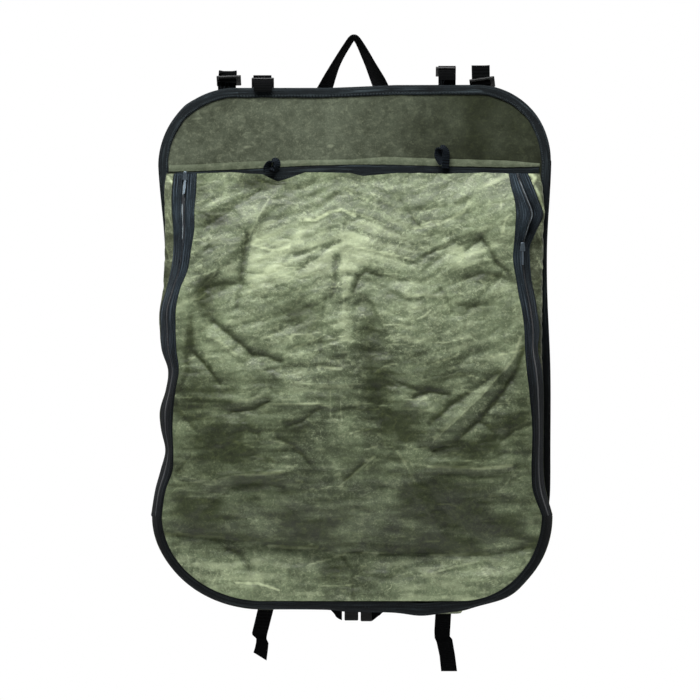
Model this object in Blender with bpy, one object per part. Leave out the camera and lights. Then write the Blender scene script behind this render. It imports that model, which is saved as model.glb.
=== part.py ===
# Jumper cable bag: a slack waxed canvas pouch on a stiff canvas back panel, hung up by its grab handle.
# Metres, +Z up, the pouch faces -Y, and the origin is the point on which the handle hangs.

import math
from collections import namedtuple

import bmesh
import bpy
from mathutils import Vector

MM = 0.001
GAP = 0.4
CLOTH = 1.8
TAPE = 1.6

# Back panel, in millimetres: a padded canvas board with its rim bound in tape
PANEL_LEFT = -247.0
PANEL_RIGHT = 251.5
PANEL_TOP = -58.4
PANEL_THICKNESS = 3.0
TOP_LEFT_RADIUS = 101.6
TOP_RIGHT_RADIUS = 94.0
BINDING_WIDTH = 12.5
BINDING_WALL = 1.0
BINDING_CLEAR = 0.35

# The front of the pouch: its outer edge, whose lower corners are quarter ellipses
FRONT_TOP = -170.0
CORNER_HEIGHT = -603.3
LEFT_CORNER = -112.6
RIGHT_CORNER = 136.5
LEFT_CORNER_WIDTH = 142.0
RIGHT_CORNER_WIDTH = 115.6
CORNER_DEPTH = 121.3
FRONT_BAND = 12.8
FRONT_LIP_DEPTH = 34.0
PANEL_INSIDE_FRONT = 3.5

SIDE_STEPS = 26
CORNER_STEPS = 9
BOTTOM_STEPS = 10
STRAIGHT_STEPS = 12
TOP_STEPS = 6
CLOTH_COLUMNS = 28
BELLY_ROUNDNESS = 2.4

# Shares of a side zip's width: half the teeth, the gap beside them, and the slit between open teeth
ZIP_COIL = 0.055
TEETH_GAP = 0.024
TEETH_SLIT = 0.012
TEETH = 2.2
TAPE_BEND = 0.55

LIP_TURN_BACK = 5.0
LIP_CORNER_TURN = 9.0
LIP_CORNER_REACH = 9.0
LIP_WALL = 2.2
LIP_CLEAR = 1.9
RIM_CLEAR = 0.9
RIM_BULGE = 2.0
GUSSET_SEAM_INSET = BINDING_WIDTH + 4.5
GUSSET_STEPS = 4
OVER_BINDING = 3.4
ROOT_CLEAR = 0.1

# How far the left and right edges of the back panel lean out from a straight line
Bow = namedtuple("Bow", "z left right")
PANEL_BOW = (
    Bow(-60, 0.0, 0.0),
    Bow(-159, 0.0, 0.5),
    Bow(-254, 8.0, -4.5),
    Bow(-318, 9.0, -4.5),
    Bow(-419, 15.5, -0.5),
    Bow(-521, 10.5, -0.5),
    Bow(-572, 0.0, -0.8),
    Bow(-603, -4.1, -2.9),
    Bow(-725, -4.1, -2.9),
)

# One side zip, from the edge of the front cloth to the edge of the gusset. depth is in front of the back
# panel, drop is how far the tapes turn back towards it, and gape is how far the open zip stands apart.
Zip = namedtuple("Zip", "z inner outer depth drop gape split")
LEFT_ZIP = (
    Zip(-170, -198, -227, 7, 2, 0, 0.50),
    Zip(-193, -199, -229, 12, 3, 0, 0.50),
    Zip(-216, -201, -229, 18, 5, 0, 0.50),
    Zip(-241, -201, -227, 23, 8, 0, 0.50),
    Zip(-267, -205, -227, 27, 12, 0, 0.50),
    Zip(-292, -209, -230, 31, 15, 0, 0.50),
    Zip(-318, -219, -236, 35, 18, 0, 0.50),
    Zip(-343, -224, -243, 37, 19, 0, 0.55),
    Zip(-368, -224, -243, 38, 19, 0, 0.55),
    Zip(-394, -223, -241, 39, 20, 0, 0.55),
    Zip(-419, -220, -233, 41, 22, 0, 0.60),
    Zip(-444, -224, -236, 41, 23, 0, 0.60),
    Zip(-470, -227, -243, 41, 22, 0, 0.60),
    Zip(-495, -228, -242, 40, 23, 0, 0.60),
    Zip(-521, -227, -237, 40, 23, 0, 0.60),
    Zip(-546, -228, -243, 38, 22, 0, 0.60),
    Zip(-572, -237, -250, 36, 20, 0, 0.60),
    Zip(-603, -241.8, -254.6, 34, 14, 0, 0.60),
)
RIGHT_ZIP = (
    Zip(-170, 198, 222, 9, 4, 2, 0.45),
    Zip(-187, 201, 229, 19, 9, 13, 0.50),
    Zip(-203, 205, 235, 27, 15, 18, 0.55),
    Zip(-221, 207, 241, 31, 20, 20, 0.60),
    Zip(-237, 206, 235, 31, 18, 16, 0.58),
    Zip(-252, 205, 228, 30, 14, 5, 0.55),
    Zip(-262, 204, 224, 29, 12, 0, 0.55),
    Zip(-279, 203, 224, 31, 14, 0, 0.55),
    Zip(-305, 207, 226, 34, 16, 0, 0.55),
    Zip(-324, 210, 230, 36, 17, 0, 0.55),
    Zip(-343, 214, 233, 38, 19, 0, 0.55),
    Zip(-368, 217, 236, 40, 20, 0, 0.55),
    Zip(-394, 218, 234, 41, 22, 0, 0.60),
    Zip(-419, 220, 239, 42, 22, 0, 0.60),
    Zip(-444, 223, 241, 42, 22, 0, 0.60),
    Zip(-495, 227, 241, 41, 23, 0, 0.60),
    Zip(-546, 226, 241, 39, 22, 0, 0.60),
    Zip(-572, 228, 244, 37, 20, 0, 0.60),
    Zip(-603, 239.3, 252.1, 34, 14, 0, 0.60),
)
ZIP_CLOSED_BELOW = -254.0

# Where the canvas gussets stand out furthest to each side
Bulge = namedtuple("Bulge", "z left right")
GUSSET_BULGE = (
    Bulge(-170, -236, 236),
    Bulge(-190, -239, 241),
    Bulge(-241, -239, 242),
    Bulge(-318, -241, 242.5),
    Bulge(-368, -241, 242.5),
    Bulge(-419, -236, 242),
    Bulge(-495, -240, 242),
    Bulge(-572, -249, 244),
    Bulge(-603, -253, 250),
)

# Depth of the front cloth down its middle: slopes out to a belly, back to a crease, out to the lower lip
Belly = namedtuple("Belly", "z depth")
CLOTH_BELLY = (
    Belly(-160, 3.2),
    Belly(-180, 5),
    Belly(-216, 16),
    Belly(-254, 27),
    Belly(-305, 40),
    Belly(-356, 50),
    Belly(-406, 57),
    Belly(-457, 62),
    Belly(-508, 64),
    Belly(-546, 61),
    Belly(-584, 52),
    Belly(-610, 42),
    Belly(-634, 30),
    Belly(-648, 26),
    Belly(-665, 27),
    Belly(-690, 31),
    Belly(-713, 34),
)

# The wavy top edge of the front cloth
Edge = namedtuple("Edge", "x z")
CLOTH_TOP = (
    Edge(-198, -170),
    Edge(-155, -168),
    Edge(-114, -171),
    Edge(-95, -180),
    Edge(-79, -175),
    Edge(-60, -168),
    Edge(-3, -169),
    Edge(14, -173),
    Edge(56, -169),
    Edge(125, -170),
    Edge(163, -169),
    Edge(198, -170),
)

# Folds of the front cloth: a ridge (rise above 0) or a valley along a line, with a rounded section
Fold = namedtuple("Fold", "x0 z0 x1 z1 rise width")
CLOTH_FOLDS = (
    Fold(-88, -186, -149, -254, 8, 13),
    Fold(-149, -254, -206, -320, 10, 13),
    Fold(-165, -290, -197, -362, -8, 14),
    Fold(-188, -231, -157, -226, -6, 11),
    Fold(-175, -357, -99, -404, -8, 10),
    Fold(-201, -396, -165, -444, -6, 10),
    Fold(-14, -190, -11, -457, 6, 13),
    Fold(-32, -311, -38, -353, -6, 10),
    Fold(15, -328, 51, -457, -9, 14),
    Fold(51, -457, 107, -622, -6, 15),
    Fold(42, -330, 99, -447, 5, 15),
    Fold(164, -251, 202, -297, -6, 10),
    Fold(144, -302, 193, -298, -6, 9),
    Fold(112, -305, 119, -345, -4, 9),
    Fold(203, -394, 99, -516, 11, 12),
    Fold(208, -432, 119, -536, -8, 11),
    Fold(27, -444, 93, -511, -6, 11),
    Fold(-218, -422, -174, -453, -6, 12),
    Fold(-150, -457, -102, -452, 5, 10),
    Fold(-99, -476, -43, -472, -5, 11),
    Fold(-164, -533, -97, -538, -6, 14),
    Fold(-210, -552, -85, -552, 5, 10),
    Fold(-168, -584, -89, -605, -6, 18),
    Fold(83, -552, 150, -629, -8, 18),
    Fold(48, -511, 117, -631, 6, 10),
    Fold(-215, -630, -48, -636, -8, 10),
    Fold(36, -649, 169, -650, -8, 10),
    Fold(169, -650, 222, -636, -7, 10),
    Fold(-3, -660, -20, -700, -5, 13),
)
FOLD_TAPER = 24.0

# The flat canvas hem and the dark tape that run across the back panel above the pouch
Strip = namedtuple("Strip", "x top bottom")
HEM_STRIP = (
    Strip(-233.5, -159.0, -167.0),
    Strip(-203.0, -158.2, -166.5),
    Strip(-142.0, -154.7, -164.0),
    Strip(-62.0, -152.4, -159.6),
    Strip(-2.0, -151.9, -158.0),
    Strip(41.0, -148.3, -158.0),
    Strip(105.0, -150.6, -159.8),
    Strip(195.0, -153.0, -161.6),
    Strip(237.5, -156.8, -160.6),
)
TOP_BAND = (
    Strip(-225.0, -168.0, -181.0),
    Strip(-203.0, -167.4, -182.0),
    Strip(-142.0, -164.9, -183.0),
    Strip(-62.0, -160.5, -178.0),
    Strip(-2.0, -158.9, -178.0),
    Strip(56.0, -158.9, -178.0),
    Strip(124.0, -161.3, -178.0),
    Strip(195.0, -162.9, -178.0),
    Strip(229.0, -161.8, -176.0),
)
STRIP_FRONT = 1.4

# Webbing
HANDLE_WIDTH = 19.0
LOWER_WIDTH = 20.0
TOP_WIDTH = 24.0
WEBBING = 1.6
WEBBING_REAR = 5.7

# The handle from one sewn end to the other; turn is how far the webbing twists out of the panel's plane
HandlePoint = namedtuple("HandlePoint", "x y z turn")
HANDLE = (
    HandlePoint(-53.0, 5.7, -94.0, 0),
    HandlePoint(-44.0, 5.7, -77.0, 0),
    HandlePoint(-34.6, 5.7, -60.0, 4),
    HandlePoint(-29.8, 5.4, -50.5, 18),
    HandlePoint(-22.5, 4.4, -37.0, 34),
    HandlePoint(-15.0, 3.0, -23.0, 50),
    HandlePoint(-8.5, 1.6, -11.0, 66),
    HandlePoint(-4.0, 0.6, -3.2, 76),
    HandlePoint(0.0, 0.0, 0.0, 82),
    HandlePoint(4.0, 0.6, -3.2, 76),
    HandlePoint(8.6, 1.6, -11.0, 66),
    HandlePoint(15.0, 3.0, -22.2, 50),
    HandlePoint(22.3, 4.4, -35.5, 34),
    HandlePoint(29.6, 5.4, -48.5, 18),
    HandlePoint(34.9, 5.7, -58.5, 4),
    HandlePoint(44.0, 5.7, -76.0, 0),
    HandlePoint(53.0, 5.7, -93.0, 0),
)

# Four folded webbing stubs on the top edge, each with a plastic slider
Stub = namedtuple("Stub", "x top lean slider slider_width")
TOP_STUBS = (
    Stub(-159.4, -39.5, 1.5, -51.5, 31.0),
    Stub(-114.3, -44.5, 0.5, -53.5, 28.5),
    Stub(119.5, -32.6, -1.5, -46.0, 28.5),
    Stub(163.5, -32.0, -1.0, -49.0, 30.0),
)
STUB_SEWN_TO = -92.0
STUB_FOLD_RADIUS = 2.2
SLIDER_HEIGHT = 7.0
SLIDER_DEPTH = 9.0
SLIDER_SLOT_DEPTH = 6.8
SLIDER_SLOT_CLEAR = 1.2
SLIDER_LEAN = 0.3
FLAP_RISE = 1.0

# Two narrow tape loops on the dark top tape
LoopPoint = namedtuple("LoopPoint", "x z")
LEFT_LOOP = (
    LoopPoint(-107.8, -168.0),
    LoopPoint(-108.6, -162.0),
    LoopPoint(-105.0, -155.5),
    LoopPoint(-99.5, -151.5),
    LoopPoint(-95.0, -153.0),
    LoopPoint(-94.6, -158.0),
    LoopPoint(-98.6, -163.6),
    LoopPoint(-104.4, -167.4),
)
RIGHT_LOOP = (
    LoopPoint(117.2, -161.0),
    LoopPoint(118.4, -150.0),
    LoopPoint(117.8, -141.0),
    LoopPoint(112.6, -136.2),
    LoopPoint(107.0, -139.0),
    LoopPoint(106.4, -146.0),
    LoopPoint(110.6, -150.0),
    LoopPoint(115.6, -149.6),
)
LOOP_WIDTH = 9.0
LOOP_THICKNESS = 1.4

# Two webbing straps that hang below the bottom edge
StrapPoint = namedtuple("StrapPoint", "x y z")
LOWER_LEFT = (
    StrapPoint(-110.4, 5.7, -688.0),
    StrapPoint(-110.4, 5.7, -708.0),
    StrapPoint(-111.0, 5.7, -724.0),
    StrapPoint(-115.0, 5.0, -742.0),
    StrapPoint(-118.2, 3.8, -756.0),
    StrapPoint(-114.6, 3.4, -765.0),
    StrapPoint(-117.4, 3.4, -783.0),
)
LOWER_RIGHT = (
    StrapPoint(114.9, 5.7, -688.0),
    StrapPoint(114.9, 5.7, -708.0),
    StrapPoint(114.9, 5.7, -729.0),
    StrapPoint(113.7, 5.0, -748.0),
    StrapPoint(114.2, 4.2, -760.0),
    StrapPoint(117.2, 3.6, -776.0),
    StrapPoint(122.4, 3.6, -802.0),
)

# The waist strap behind the bag: two halves rise from a side-release buckle to the back of the panel
Half = namedtuple("Half", "upper_x upper_z lower_x lower_z y")
WAIST_LEFT = (
    Half(-158.3, -557.3, -176.0, -575.0, 4.2),
    Half(-140.0, -575.6, -157.7, -593.3, 4.2),
    Half(-60.0, -655.6, -77.7, -673.3, 7.0),
    Half(-22.0, -693.6, -27.6, -723.6, 9.6),
    Half(-13.7, -702.0, -13.7, -737.0, 10.0),
)
WAIST_RIGHT = (
    Half(168.3, -557.3, 186.0, -575.0, 4.2),
    Half(152.0, -575.6, 169.7, -593.3, 4.2),
    Half(72.0, -655.6, 89.7, -673.3, 7.0),
    Half(33.0, -694.6, 40.1, -724.3, 9.6),
    Half(24.5, -703.0, 24.5, -738.6, 10.0),
)
BUCKLE_Y = 10.0
BUCKLE_DEPTH = 10.0
BUCKLE_SOCKET = (
    (-13.3, -724.0),
    (-10.5, -724.0),
    (-10.5, -737.6),
    (7.0, -737.6),
    (7.0, -705.0),
    (-10.5, -705.0),
    (-10.5, -708.0),
    (-13.3, -708.0),
)
BUCKLE_PLUG = (
    (7.4, -722.0),
    (10.0, -722.0),
    (10.0, -738.6),
    (24.1, -738.6),
    (24.1, -706.0),
    (10.0, -706.0),
    (10.0, -711.0),
    (7.4, -711.0),
)

# Zip sliders: where each sits along its zip, and its metal body and pull
SLIDER_BODY = (7.0, 3.0, 11.0)
PULL_BODY = (4.6, 1.4, 17.0)
SLIDER_REACH = 0.2
SLIDER_TAPER = 0.64
SLIDER_SEAT = 0.15
LEFT_SLIDER_Z = -172.5
RIGHT_SLIDER_Z = -263.0


def srgb(*channels):
    """A colour given in 0 to 255, as the shader's linear values."""
    return tuple((channel / 255) ** 2.2 for channel in channels) + (1.0,)


# Finish of each kind of piece: colour, roughness, metallic
FINISHES = {
    "canvas": (srgb(104, 116, 92), 0.62, 0.0),
    "panel_canvas": (srgb(84, 93, 78), 0.60, 0.0),
    "hem_canvas": (srgb(112, 122, 102), 0.65, 0.0),
    "binding_tape": (srgb(38, 43, 49), 0.80, 0.0),
    "zip_tape": (srgb(52, 60, 64), 0.78, 0.0),
    "zip_teeth": (srgb(60, 68, 72), 0.45, 0.0),
    "webbing": (srgb(16, 18, 18), 0.80, 0.0),
    "plastic": (srgb(24, 26, 27), 0.42, 0.0),
    "zip_metal": (srgb(150, 162, 166), 0.32, 1.0),
}


def clear_scene():
    for thing in list(bpy.data.objects):
        bpy.data.objects.remove(thing, do_unlink=True)


def finish_material(name):
    material = bpy.data.materials.get(name)
    if material is None:
        colour, roughness, metallic = FINISHES[name]
        material = bpy.data.materials.new(name)
        material.use_nodes = True
        shader = material.node_tree.nodes["Principled BSDF"]
        shader.inputs["Base Color"].default_value = colour
        shader.inputs["Roughness"].default_value = roughness
        shader.inputs["Metallic"].default_value = metallic
    return material


def add_object(name, shape, finish, smooth=True):
    """The object NAME from a bmesh in millimetres."""
    bmesh.ops.scale(shape, vec=(MM, MM, MM), verts=shape.verts)
    mesh = bpy.data.meshes.new(name)
    shape.to_mesh(mesh)
    shape.free()
    mesh.materials.append(finish_material(finish))
    if smooth:
        mesh.shade_smooth()
        mesh.set_sharp_from_angle(angle=math.radians(40))
    thing = bpy.data.objects.new(name, mesh)
    bpy.context.scene.collection.objects.link(thing)
    return thing


def cloth_sheet(name, grid, thickness, finish):
    """A wall through a grid of points, half its thickness to each side."""
    shape = bmesh.new()
    rows = [[shape.verts.new(point) for point in row] for row in grid]
    for upper, lower in zip(rows, rows[1:]):
        for column in range(len(upper) - 1):
            corners = (upper[column], lower[column], lower[column + 1], upper[column + 1])
            shape.faces.new(corners)
    thing = add_object(name, shape, finish)
    wall = thing.modifiers.new("Wall", "SOLIDIFY")
    wall.thickness = thickness * MM
    wall.offset = 0.0
    return thing


def tube_of_loops(name, loops, finish, closed):
    """A solid through loops of points: closed joins the last to the first, otherwise both ends are capped."""
    shape = bmesh.new()
    rings = [[shape.verts.new(point) for point in loop] for loop in loops]
    pairs = list(zip(rings, rings[1:]))
    if closed:
        pairs.append((rings[-1], rings[0]))
    else:
        shape.faces.new(rings[0])
        shape.faces.new(rings[-1][::-1])
    for first, second in pairs:
        for index, corner in enumerate(first):
            following = (index + 1) % len(first)
            shape.faces.new((corner, second[index], second[following], first[following]))
    bmesh.ops.recalc_face_normals(shape, faces=shape.faces)
    return add_object(name, shape, finish)


def ribbon(name, centres, across, width, thickness, finish):
    """Flat webbing along centres; across points from one selvedge to the other at each of them."""
    loops = []
    for index, centre in enumerate(centres):
        before = centres[max(index - 1, 0)]
        after = centres[min(index + 1, len(centres) - 1)]
        along = (after - before).normalized()
        side = (across[index] - along * across[index].dot(along)).normalized()
        out = along.cross(side)
        half_side = side * width / 2
        half_out = out * thickness / 2
        loops.append((
            centre - half_side - half_out,
            centre + half_side - half_out,
            centre + half_side + half_out,
            centre - half_side + half_out,
        ))
    return tube_of_loops(name, loops, finish, closed=False)


def extruded(name, outline, front, back, finish, bevel=0.0):
    """A flat outline of (x, z) corners made solid between two depths."""
    shape = bmesh.new()
    face = shape.faces.new([shape.verts.new((x, front, z)) for x, z in outline])
    swept = bmesh.ops.extrude_face_region(shape, geom=[face])
    moved = [item for item in swept["geom"] if isinstance(item, bmesh.types.BMVert)]
    bmesh.ops.translate(shape, verts=moved, vec=(0, back - front, 0))
    bmesh.ops.recalc_face_normals(shape, faces=shape.faces)
    thing = add_object(name, shape, finish, smooth=False)
    if bevel:
        rounding = thing.modifiers.new("Rounded edges", "BEVEL")
        rounding.width = bevel * MM
        rounding.segments = 1
    return thing


def at_height(rows, column, z):
    """A table's column at height z, on a smooth curve through its rows."""
    heights = [row.z for row in rows]
    values = [getattr(row, column) for row in rows]
    z = min(max(z, heights[-1]), heights[0])
    index = 0
    while index < len(rows) - 2 and z < heights[index + 1]:
        index += 1

    def slope(at):
        low = max(at - 1, 0)
        high = min(at + 1, len(rows) - 1)
        return (values[high] - values[low]) / (heights[high] - heights[low])

    span = heights[index + 1] - heights[index]
    t = (z - heights[index]) / span
    start = (2 * t**3 - 3 * t**2 + 1) * values[index] + (t**3 - 2 * t**2 + t) * span * slope(index)
    end = (3 * t**2 - 2 * t**3) * values[index + 1] + (t**3 - t**2) * span * slope(index + 1)
    return start + end


def along_x(rows, column, x):
    """A table's column at x, straight between its rows."""
    for left, right in zip(rows, rows[1:]):
        if x <= right.x or right is rows[-1]:
            t = min(max((x - left.x) / (right.x - left.x), 0.0), 1.0)
            return getattr(left, column) * (1 - t) + getattr(right, column) * t
    return getattr(rows[0], column)


def ease(t):
    t = min(max(t, 0.0), 1.0)
    return t * t * (3 - 2 * t)


def arc(centre_x, centre_z, width, height, start, end, steps):
    """Points on part of an ellipse, both ends included; angles in degrees from +X towards +Z."""
    points = []
    for step in range(steps + 1):
        angle = math.radians(start + (end - start) * step / steps)
        points.append((centre_x + width * math.cos(angle), centre_z + height * math.sin(angle)))
    return points


def between(first, last, steps):
    """The points inside a straight run, its ends left out."""
    return [
        (
            first[0] + (last[0] - first[0]) * step / steps,
            first[1] + (last[1] - first[1]) * step / steps,
        )
        for step in range(1, steps)
    ]


def panel_outline(inset):
    """The outline of the back panel, inset from the outside of its binding."""
    left = PANEL_LEFT + inset
    right = PANEL_RIGHT - inset
    low_inset = inset + PANEL_INSIDE_FRONT
    depth = CORNER_DEPTH - low_inset
    bottom_left = arc(
        LEFT_CORNER, CORNER_HEIGHT, LEFT_CORNER_WIDTH - low_inset, depth, 180, 270, CORNER_STEPS,
    )
    bottom_right = arc(
        RIGHT_CORNER, CORNER_HEIGHT, RIGHT_CORNER_WIDTH - low_inset, depth, 270, 360, CORNER_STEPS,
    )
    top_right = arc(
        PANEL_RIGHT - TOP_RIGHT_RADIUS, PANEL_TOP - TOP_RIGHT_RADIUS,
        TOP_RIGHT_RADIUS - inset, TOP_RIGHT_RADIUS - inset, 0, 90, CORNER_STEPS,
    )
    top_left = arc(
        PANEL_LEFT + TOP_LEFT_RADIUS, PANEL_TOP - TOP_LEFT_RADIUS,
        TOP_LEFT_RADIUS - inset, TOP_LEFT_RADIUS - inset, 90, 180, CORNER_STEPS,
    )
    outline = list(bottom_left)
    outline += between(bottom_left[-1], bottom_right[0], TOP_STEPS)
    outline += bottom_right
    outline += [
        (right + at_height(PANEL_BOW, "right", z), z)
        for _, z in between(bottom_right[-1], top_right[0], STRAIGHT_STEPS)
    ]
    outline += top_right
    outline += between(top_right[-1], top_left[0], TOP_STEPS)
    outline += top_left
    outline += [
        (left + at_height(PANEL_BOW, "left", z), z)
        for _, z in between(top_left[-1], bottom_left[0], STRAIGHT_STEPS)
    ]
    return outline


def build_back_panel():
    outline = panel_outline(BINDING_WALL + GAP)
    extruded("back_panel", outline, 0.0, PANEL_THICKNESS, "panel_canvas")


def build_back_binding():
    """Tape folded over the panel's rim: a channel with a leg on each face."""
    front_outside = -BINDING_CLEAR - BINDING_WALL
    rear_inside = PANEL_THICKNESS + BINDING_CLEAR
    profile = (
        (0.0, front_outside),
        (BINDING_WIDTH, front_outside),
        (BINDING_WIDTH, -BINDING_CLEAR),
        (BINDING_WALL, -BINDING_CLEAR),
        (BINDING_WALL, rear_inside),
        (BINDING_WIDTH, rear_inside),
        (BINDING_WIDTH, rear_inside + BINDING_WALL),
        (0.0, rear_inside + BINDING_WALL),
    )
    loops = [[(x, y, z) for x, z in panel_outline(inset)] for inset, y in profile]
    tube_of_loops("back_binding", loops, "binding_tape", closed=True)


def build_strips():
    """The canvas hem and the dark tape, each laid flat on the back panel."""
    for name, rows, finish in (
        ("hem_strip", HEM_STRIP, "hem_canvas"),
        ("top_band", TOP_BAND, "binding_tape"),
    ):
        outline = [(row.x, row.top) for row in rows] + [(row.x, row.bottom) for row in reversed(rows)]
        extruded(name, outline, -STRIP_FRONT, -BINDING_CLEAR, finish)


def side_heights():
    return [FRONT_TOP + (CORNER_HEIGHT - FRONT_TOP) * step / SIDE_STEPS for step in range(SIDE_STEPS + 1)]


def corner_angles():
    return [90.0 * step / CORNER_STEPS for step in range(CORNER_STEPS + 1)]


def front_edge(side, angle, inset):
    """A point of the front's lower corner, inset from its outer edge; 0 degrees is out to the side."""
    radians = math.radians(angle)
    centre = LEFT_CORNER if side < 0 else RIGHT_CORNER
    width = LEFT_CORNER_WIDTH if side < 0 else RIGHT_CORNER_WIDTH
    x = centre + side * (width - inset) * math.cos(radians)
    z = CORNER_HEIGHT - (CORNER_DEPTH - inset) * math.sin(radians)
    return x, z


def cloth_depth(x, z, left, right, left_depth, right_depth):
    """How far the front cloth stands in front of the back panel."""
    u = (x - left) / (right - left)
    edge = left_depth + (right_depth - left_depth) * u
    rise = at_height(CLOTH_BELLY, "depth", z) - (left_depth + right_depth) / 2
    depth = edge + rise * (1 - abs(2 * u - 1) ** BELLY_ROUNDNESS)
    reach = min(x - left, right - x, FRONT_TOP - z, z - (CORNER_HEIGHT - CORNER_DEPTH + FRONT_BAND))
    return depth + ease(reach / FOLD_TAPER) * fold_height(x, z)


def fold_height(x, z):
    total = 0.0
    for fold in CLOTH_FOLDS:
        run = Vector((fold.x1 - fold.x0, fold.z1 - fold.z0))
        offset = Vector((x - fold.x0, z - fold.z0))
        t = min(max(offset.dot(run) / run.length_squared, 0.0), 1.0)
        distance = (offset - run * t).length / fold.width
        total += fold.rise * math.exp(-distance * distance)
    return total


def build_front_panel():
    grid = []
    for z in side_heights():
        left = at_height(LEFT_ZIP, "inner", z) + GAP
        right = at_height(RIGHT_ZIP, "inner", z) - GAP
        depths = at_height(LEFT_ZIP, "depth", z), at_height(RIGHT_ZIP, "depth", z)
        grid.append(cloth_row(left, right, z, depths))
    for angle in corner_angles()[1:]:
        left, z = front_edge(-1, angle, FRONT_BAND + GAP)
        right, _ = front_edge(1, angle, FRONT_BAND + GAP)
        grid.append(cloth_row(left, right, z, (FRONT_LIP_DEPTH, FRONT_LIP_DEPTH)))
    cloth_sheet("front_panel", grid, CLOTH, "canvas")


def cloth_row(left, right, z, depths):
    row = []
    for column in range(CLOTH_COLUMNS + 1):
        x = left + (right - left) * column / CLOTH_COLUMNS
        depth = cloth_depth(x, z, left, right, *depths)
        height = along_x(CLOTH_TOP, "z", x) if z == FRONT_TOP else z
        row.append(Vector((x, -depth, height)))
    return row


def zip_point(rows, z, t):
    """A point of a side zip: t runs from the front cloth (0) over the teeth (split) to the gusset (1)."""
    inner = at_height(rows, "inner", z)
    outer = at_height(rows, "outer", z)
    depth = at_height(rows, "depth", z) - at_height(rows, "drop", z) * t * t
    split = at_height(rows, "split", z)
    gape = at_height(rows, "gape", z) / 2
    if t < split:
        depth += gape * (t / split) ** 2
    else:
        depth -= gape * ((1 - t) / (1 - split)) ** 2
    return Vector((inner + (outer - inner) * t, -depth, z))


def zip_strip(name, rows, heights, span, thickness, finish):
    """A strip of a side zip; span turns a height into the strip's values of t."""
    grid = [[zip_point(rows, z, t) for t in span(z)] for z in heights]
    cloth_sheet(name, grid, thickness, finish)


def build_zip(side, rows):
    heights = side_heights()
    heights[-1] += GAP

    def split(z):
        return at_height(rows, "split", z)

    def front_tape(z):
        edge = split(z) - ZIP_COIL - TEETH_GAP
        return [0.0, edge * TAPE_BEND, edge]

    def rear_tape(z):
        edge = split(z) + ZIP_COIL + TEETH_GAP
        return [edge, (edge + 1) / 2, 1.0]

    zip_strip(f"front_tape_{side}", rows, heights, front_tape, TAPE, "zip_tape")
    zip_strip(f"rear_tape_{side}", rows, heights, rear_tape, TAPE, "zip_tape")
    if side == "left":
        closed = heights
    else:
        closed = [z for z in heights if z < ZIP_CLOSED_BELOW]
        opened = [z for z in heights if z >= ZIP_CLOSED_BELOW]
        zip_strip(
            "coil_right_front", rows, opened,
            lambda z: (split(z) - ZIP_COIL, split(z) - TEETH_SLIT), TEETH, "zip_teeth",
        )
        zip_strip(
            "coil_right_rear", rows, opened,
            lambda z: (split(z) + TEETH_SLIT, split(z) + ZIP_COIL), TEETH, "zip_teeth",
        )
    zip_strip(
        f"coil_{side}", rows, closed,
        lambda z: (split(z) - ZIP_COIL, split(z) + ZIP_COIL), TEETH, "zip_teeth",
    )


def build_zip_slider(side, rows, z):
    """The metal slider body in front of the teeth, and its pull hanging from it."""
    teeth = zip_point(rows, z, at_height(rows, "split", z))
    width, depth, height = SLIDER_BODY
    inner = at_height(rows, "split", z) - SLIDER_REACH
    seat = [zip_point(rows, z + rise, inner).y for rise in (-height / 2, 0, height / 2)]
    front = min(seat) - TAPE / 2 - GAP - SLIDER_SEAT
    outline = [
        (teeth.x - width / 2, z - height / 2),
        (teeth.x + width / 2, z - height / 2),
        (teeth.x + width * SLIDER_TAPER / 2, z + height / 2),
        (teeth.x - width * SLIDER_TAPER / 2, z + height / 2),
    ]
    extruded(f"zip_slider_{side}", outline, front - depth, front, "zip_metal", bevel=0.7)
    pull_width, pull_depth, pull_height = PULL_BODY
    top = z - height / 2 - GAP
    low = zip_point(rows, top - pull_height, at_height(rows, "split", top - pull_height))
    upper = [
        Vector((teeth.x - pull_width / 2, front - depth, top)),
        Vector((teeth.x + pull_width / 2, front - depth, top)),
        Vector((teeth.x + pull_width / 2, front - depth + pull_depth, top)),
        Vector((teeth.x - pull_width / 2, front - depth + pull_depth, top)),
    ]
    hang = Vector((low.x - teeth.x, min(low.y - teeth.y, 0.0), -pull_height))
    loops = [upper, [corner + hang for corner in upper]]
    tube_of_loops(f"zip_pull_{side}", loops, "zip_metal", closed=False)


def gusset_section(start, root, bulge_x, bulge_z):
    """The canvas wall from a tape's edge back to the panel, swelling out to the bulge on the way."""
    control = Vector((
        2 * bulge_x - (start.x + root.x) / 2,
        start.y * 0.8 + root.y * 0.2,
        2 * bulge_z - (start.z + root.z) / 2,
    ))
    section = []
    for step in range(GUSSET_STEPS):
        t = step / GUSSET_STEPS
        point = start * (1 - t) ** 2 + control * 2 * t * (1 - t) + root * t * t
        point.y = min(point.y, -OVER_BINDING)
        section.append(point)
    return section + [root]


def gusset_root(x, z):
    return Vector((x, -BINDING_CLEAR - CLOTH / 2 - ROOT_CLEAR, z))


def side_gusset_row(side, rows, z):
    edge = zip_point(rows, z, 1.0)
    before = zip_point(rows, z, 0.8)
    start = edge + (edge - before).normalized() * 2 * GAP
    inset = GUSSET_SEAM_INSET
    if side == "left":
        root_x = PANEL_LEFT + at_height(PANEL_BOW, "left", z) + inset
    else:
        root_x = PANEL_RIGHT + at_height(PANEL_BOW, "right", z) - inset
    return gusset_section(start, gusset_root(root_x, z), at_height(GUSSET_BULGE, side, z), z)


def lip_drop(angle):
    """How far the bottom binding turns back: it takes over from the zip at the corner."""
    return LIP_TURN_BACK + LIP_CORNER_TURN * math.exp(-angle / LIP_CORNER_REACH)


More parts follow.
